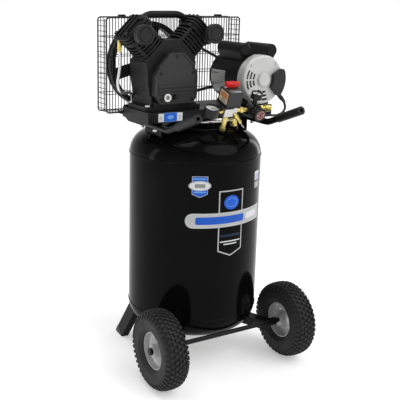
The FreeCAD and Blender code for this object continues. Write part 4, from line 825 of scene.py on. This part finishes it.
def strain_relief(name, start, along, radius, length):
    """A sleeve along the lead, with ribs that shrink away from its start."""
    bm = bmesh.new()
    ribs = 6
    profile = [(0.0, radius)]
    for i in range(ribs):
        a0 = length * (0.10 + 0.85 * i / ribs)
        a1 = length * (0.10 + 0.85 * (i + 0.6) / ribs)
        r = radius * 1.9 - radius * 0.8 * i / ribs
        profile += [(a0, r), (a1, r), (a1 + length * 0.01, r * 0.86), (a0 + length * 0.85 / ribs, r * 0.85)]
    profile += [(length, radius * 1.15), (length, radius)]
    revolve(bm, profile, around(start, along, (0, 0, 1) if abs(along[2]) < 0.9 else (1, 0, 0)), 40)
    return piece(name, bm, RUBBER, "frame", 30)


LEAD_R = 0.0041                                   # just over the lead
LEAD_START = Vector((MOTOR_X + 0.070, MOTOR_LO.y - 0.046, MOTOR_Z - 0.061))     # under the terminal cover
LEAD_FIRST_RUN = Vector((0.014, -0.004, -0.016))
SWITCH_GLAND, SWITCH_GLAND_END = lean(0.033, 0.014, 0.116), lean(0.046, 0.014, 0.114)
strain_relief("motor_end_relief", LEAD_START, LEAD_FIRST_RUN, LEAD_R, 0.024)
strain_relief("switch_end_relief", SWITCH_GLAND, SWITCH_GLAND_END - SWITCH_GLAND, LEAD_R, 0.022)


# ---------------------------------------------------------------- camera, floor and light

def aim_camera():
    """A camera in front of the tank to its left, above the pump, looking slightly down."""
    azimuth, elevation, roll = math.radians(29.93), math.radians(13.83), math.radians(0.87)
    distance, aside, above = 2.6483, -0.1209, 0.6351
    back = Vector((-math.sin(azimuth) * math.cos(elevation), -math.cos(azimuth) * math.cos(elevation),
                   math.sin(elevation)))
    right = Vector((math.cos(azimuth), -math.sin(azimuth), 0))
    target = right * aside + Vector((0, TANK_Y, above))
    data = bpy.data.cameras.new("camera")
    data.sensor_width = 36
    data.lens = 67.761
    data.shift_x, data.shift_y = 0.10, -0.06
    data.clip_start, data.clip_end = 0.05, 200
    ob = bpy.data.objects.new("camera", data)
    bpy.context.scene.collection.objects.link(ob)
    ob.rotation_mode = "QUATERNION"
    ob.location = target + back * distance
    turn_to = (-back).to_track_quat("-Z", "Y")
    ob.rotation_quaternion = Matrix.Rotation(roll, 3, back).to_quaternion() @ turn_to
    bpy.context.scene.camera = ob


def light(name, kind, place, target, power, wide=0.0, tall=0.0, angle=0.0):
    """A sun with its angle, or an area lamp that is wide by tall, aimed from place at target."""
    data = bpy.data.lights.new(name, kind)
    data.energy = power
    if kind == "AREA":
        data.shape = "RECTANGLE"
        data.size, data.size_y = wide, tall
    if kind == "SUN":
        data.angle = angle
    ob = bpy.data.objects.new(name, data)
    bpy.context.scene.collection.objects.link(ob)
    ob.location = place
    ob.rotation_mode = "QUATERNION"
    ob.rotation_quaternion = (Vector(target) - Vector(place)).to_track_quat("-Z", "Y")


def studio():
    """A pale floor without edges, a soft pale world and four lights."""
    bm = bmesh.new()
    half = 60.0
    for x, y in ((-half, -half), (half, -half), (half, half), (-half, half)):
        bm.verts.new((x, y, 0))
    bm.faces.new(bm.verts)
    mesh = bpy.data.meshes.new("floor")
    bm.to_mesh(mesh)
    bm.free()
    pale = finish("pale_floor", (0.93, 0.93, 0.93), 0.8, spec=0.05, patch=(1.5, 0.01), wear=0.05, grain=None)
    glow = pale.node_tree.nodes["Principled BSDF"]
    glow.inputs["Emission Color"].default_value = (1, 1, 1, 1)
    glow.inputs["Emission Strength"].default_value = 0.34
    mesh.materials.append(pale)
    floor = bpy.data.objects.new("floor", mesh)
    bpy.context.scene.collection.objects.link(floor)
    world = bpy.data.worlds.new("studio")
    world.use_nodes = True
    nt = world.node_tree
    back = nt.nodes["Background"]
    coord = nt.nodes.new("ShaderNodeTexCoord")
    split = nt.nodes.new("ShaderNodeSeparateXYZ")
    nt.links.new(coord.outputs["Generated"], split.inputs[0])
    level = span(nt, split.outputs["Z"], 0.0, 0.55, 1.0, 0.42)
    nt.links.new(blend(nt, level, (0, 0, 0), (1.0, 1.0, 1.0)), back.inputs["Color"])
    back.inputs["Strength"].default_value = 1.0
    bpy.context.scene.world = world
    light("sky_key", "SUN", (1.4, -2.2, 3.6), (0, 0, 0.6), 1.35, angle=math.radians(50))
    pump = (0, 0.1, 0.9)
    light("top_soft", "AREA", (-0.4, 0.5, 3.0), pump, 18, 1.6, 1.2)
    for name, side in (("left_strip", -1), ("right_strip", 1)):
        light(name, "AREA", (side * 2.6, 0.9, 1.4), pump, 10, 0.5, 2.2)
    bpy.context.scene.view_settings.view_transform = "Standard"


aim_camera()
studio()
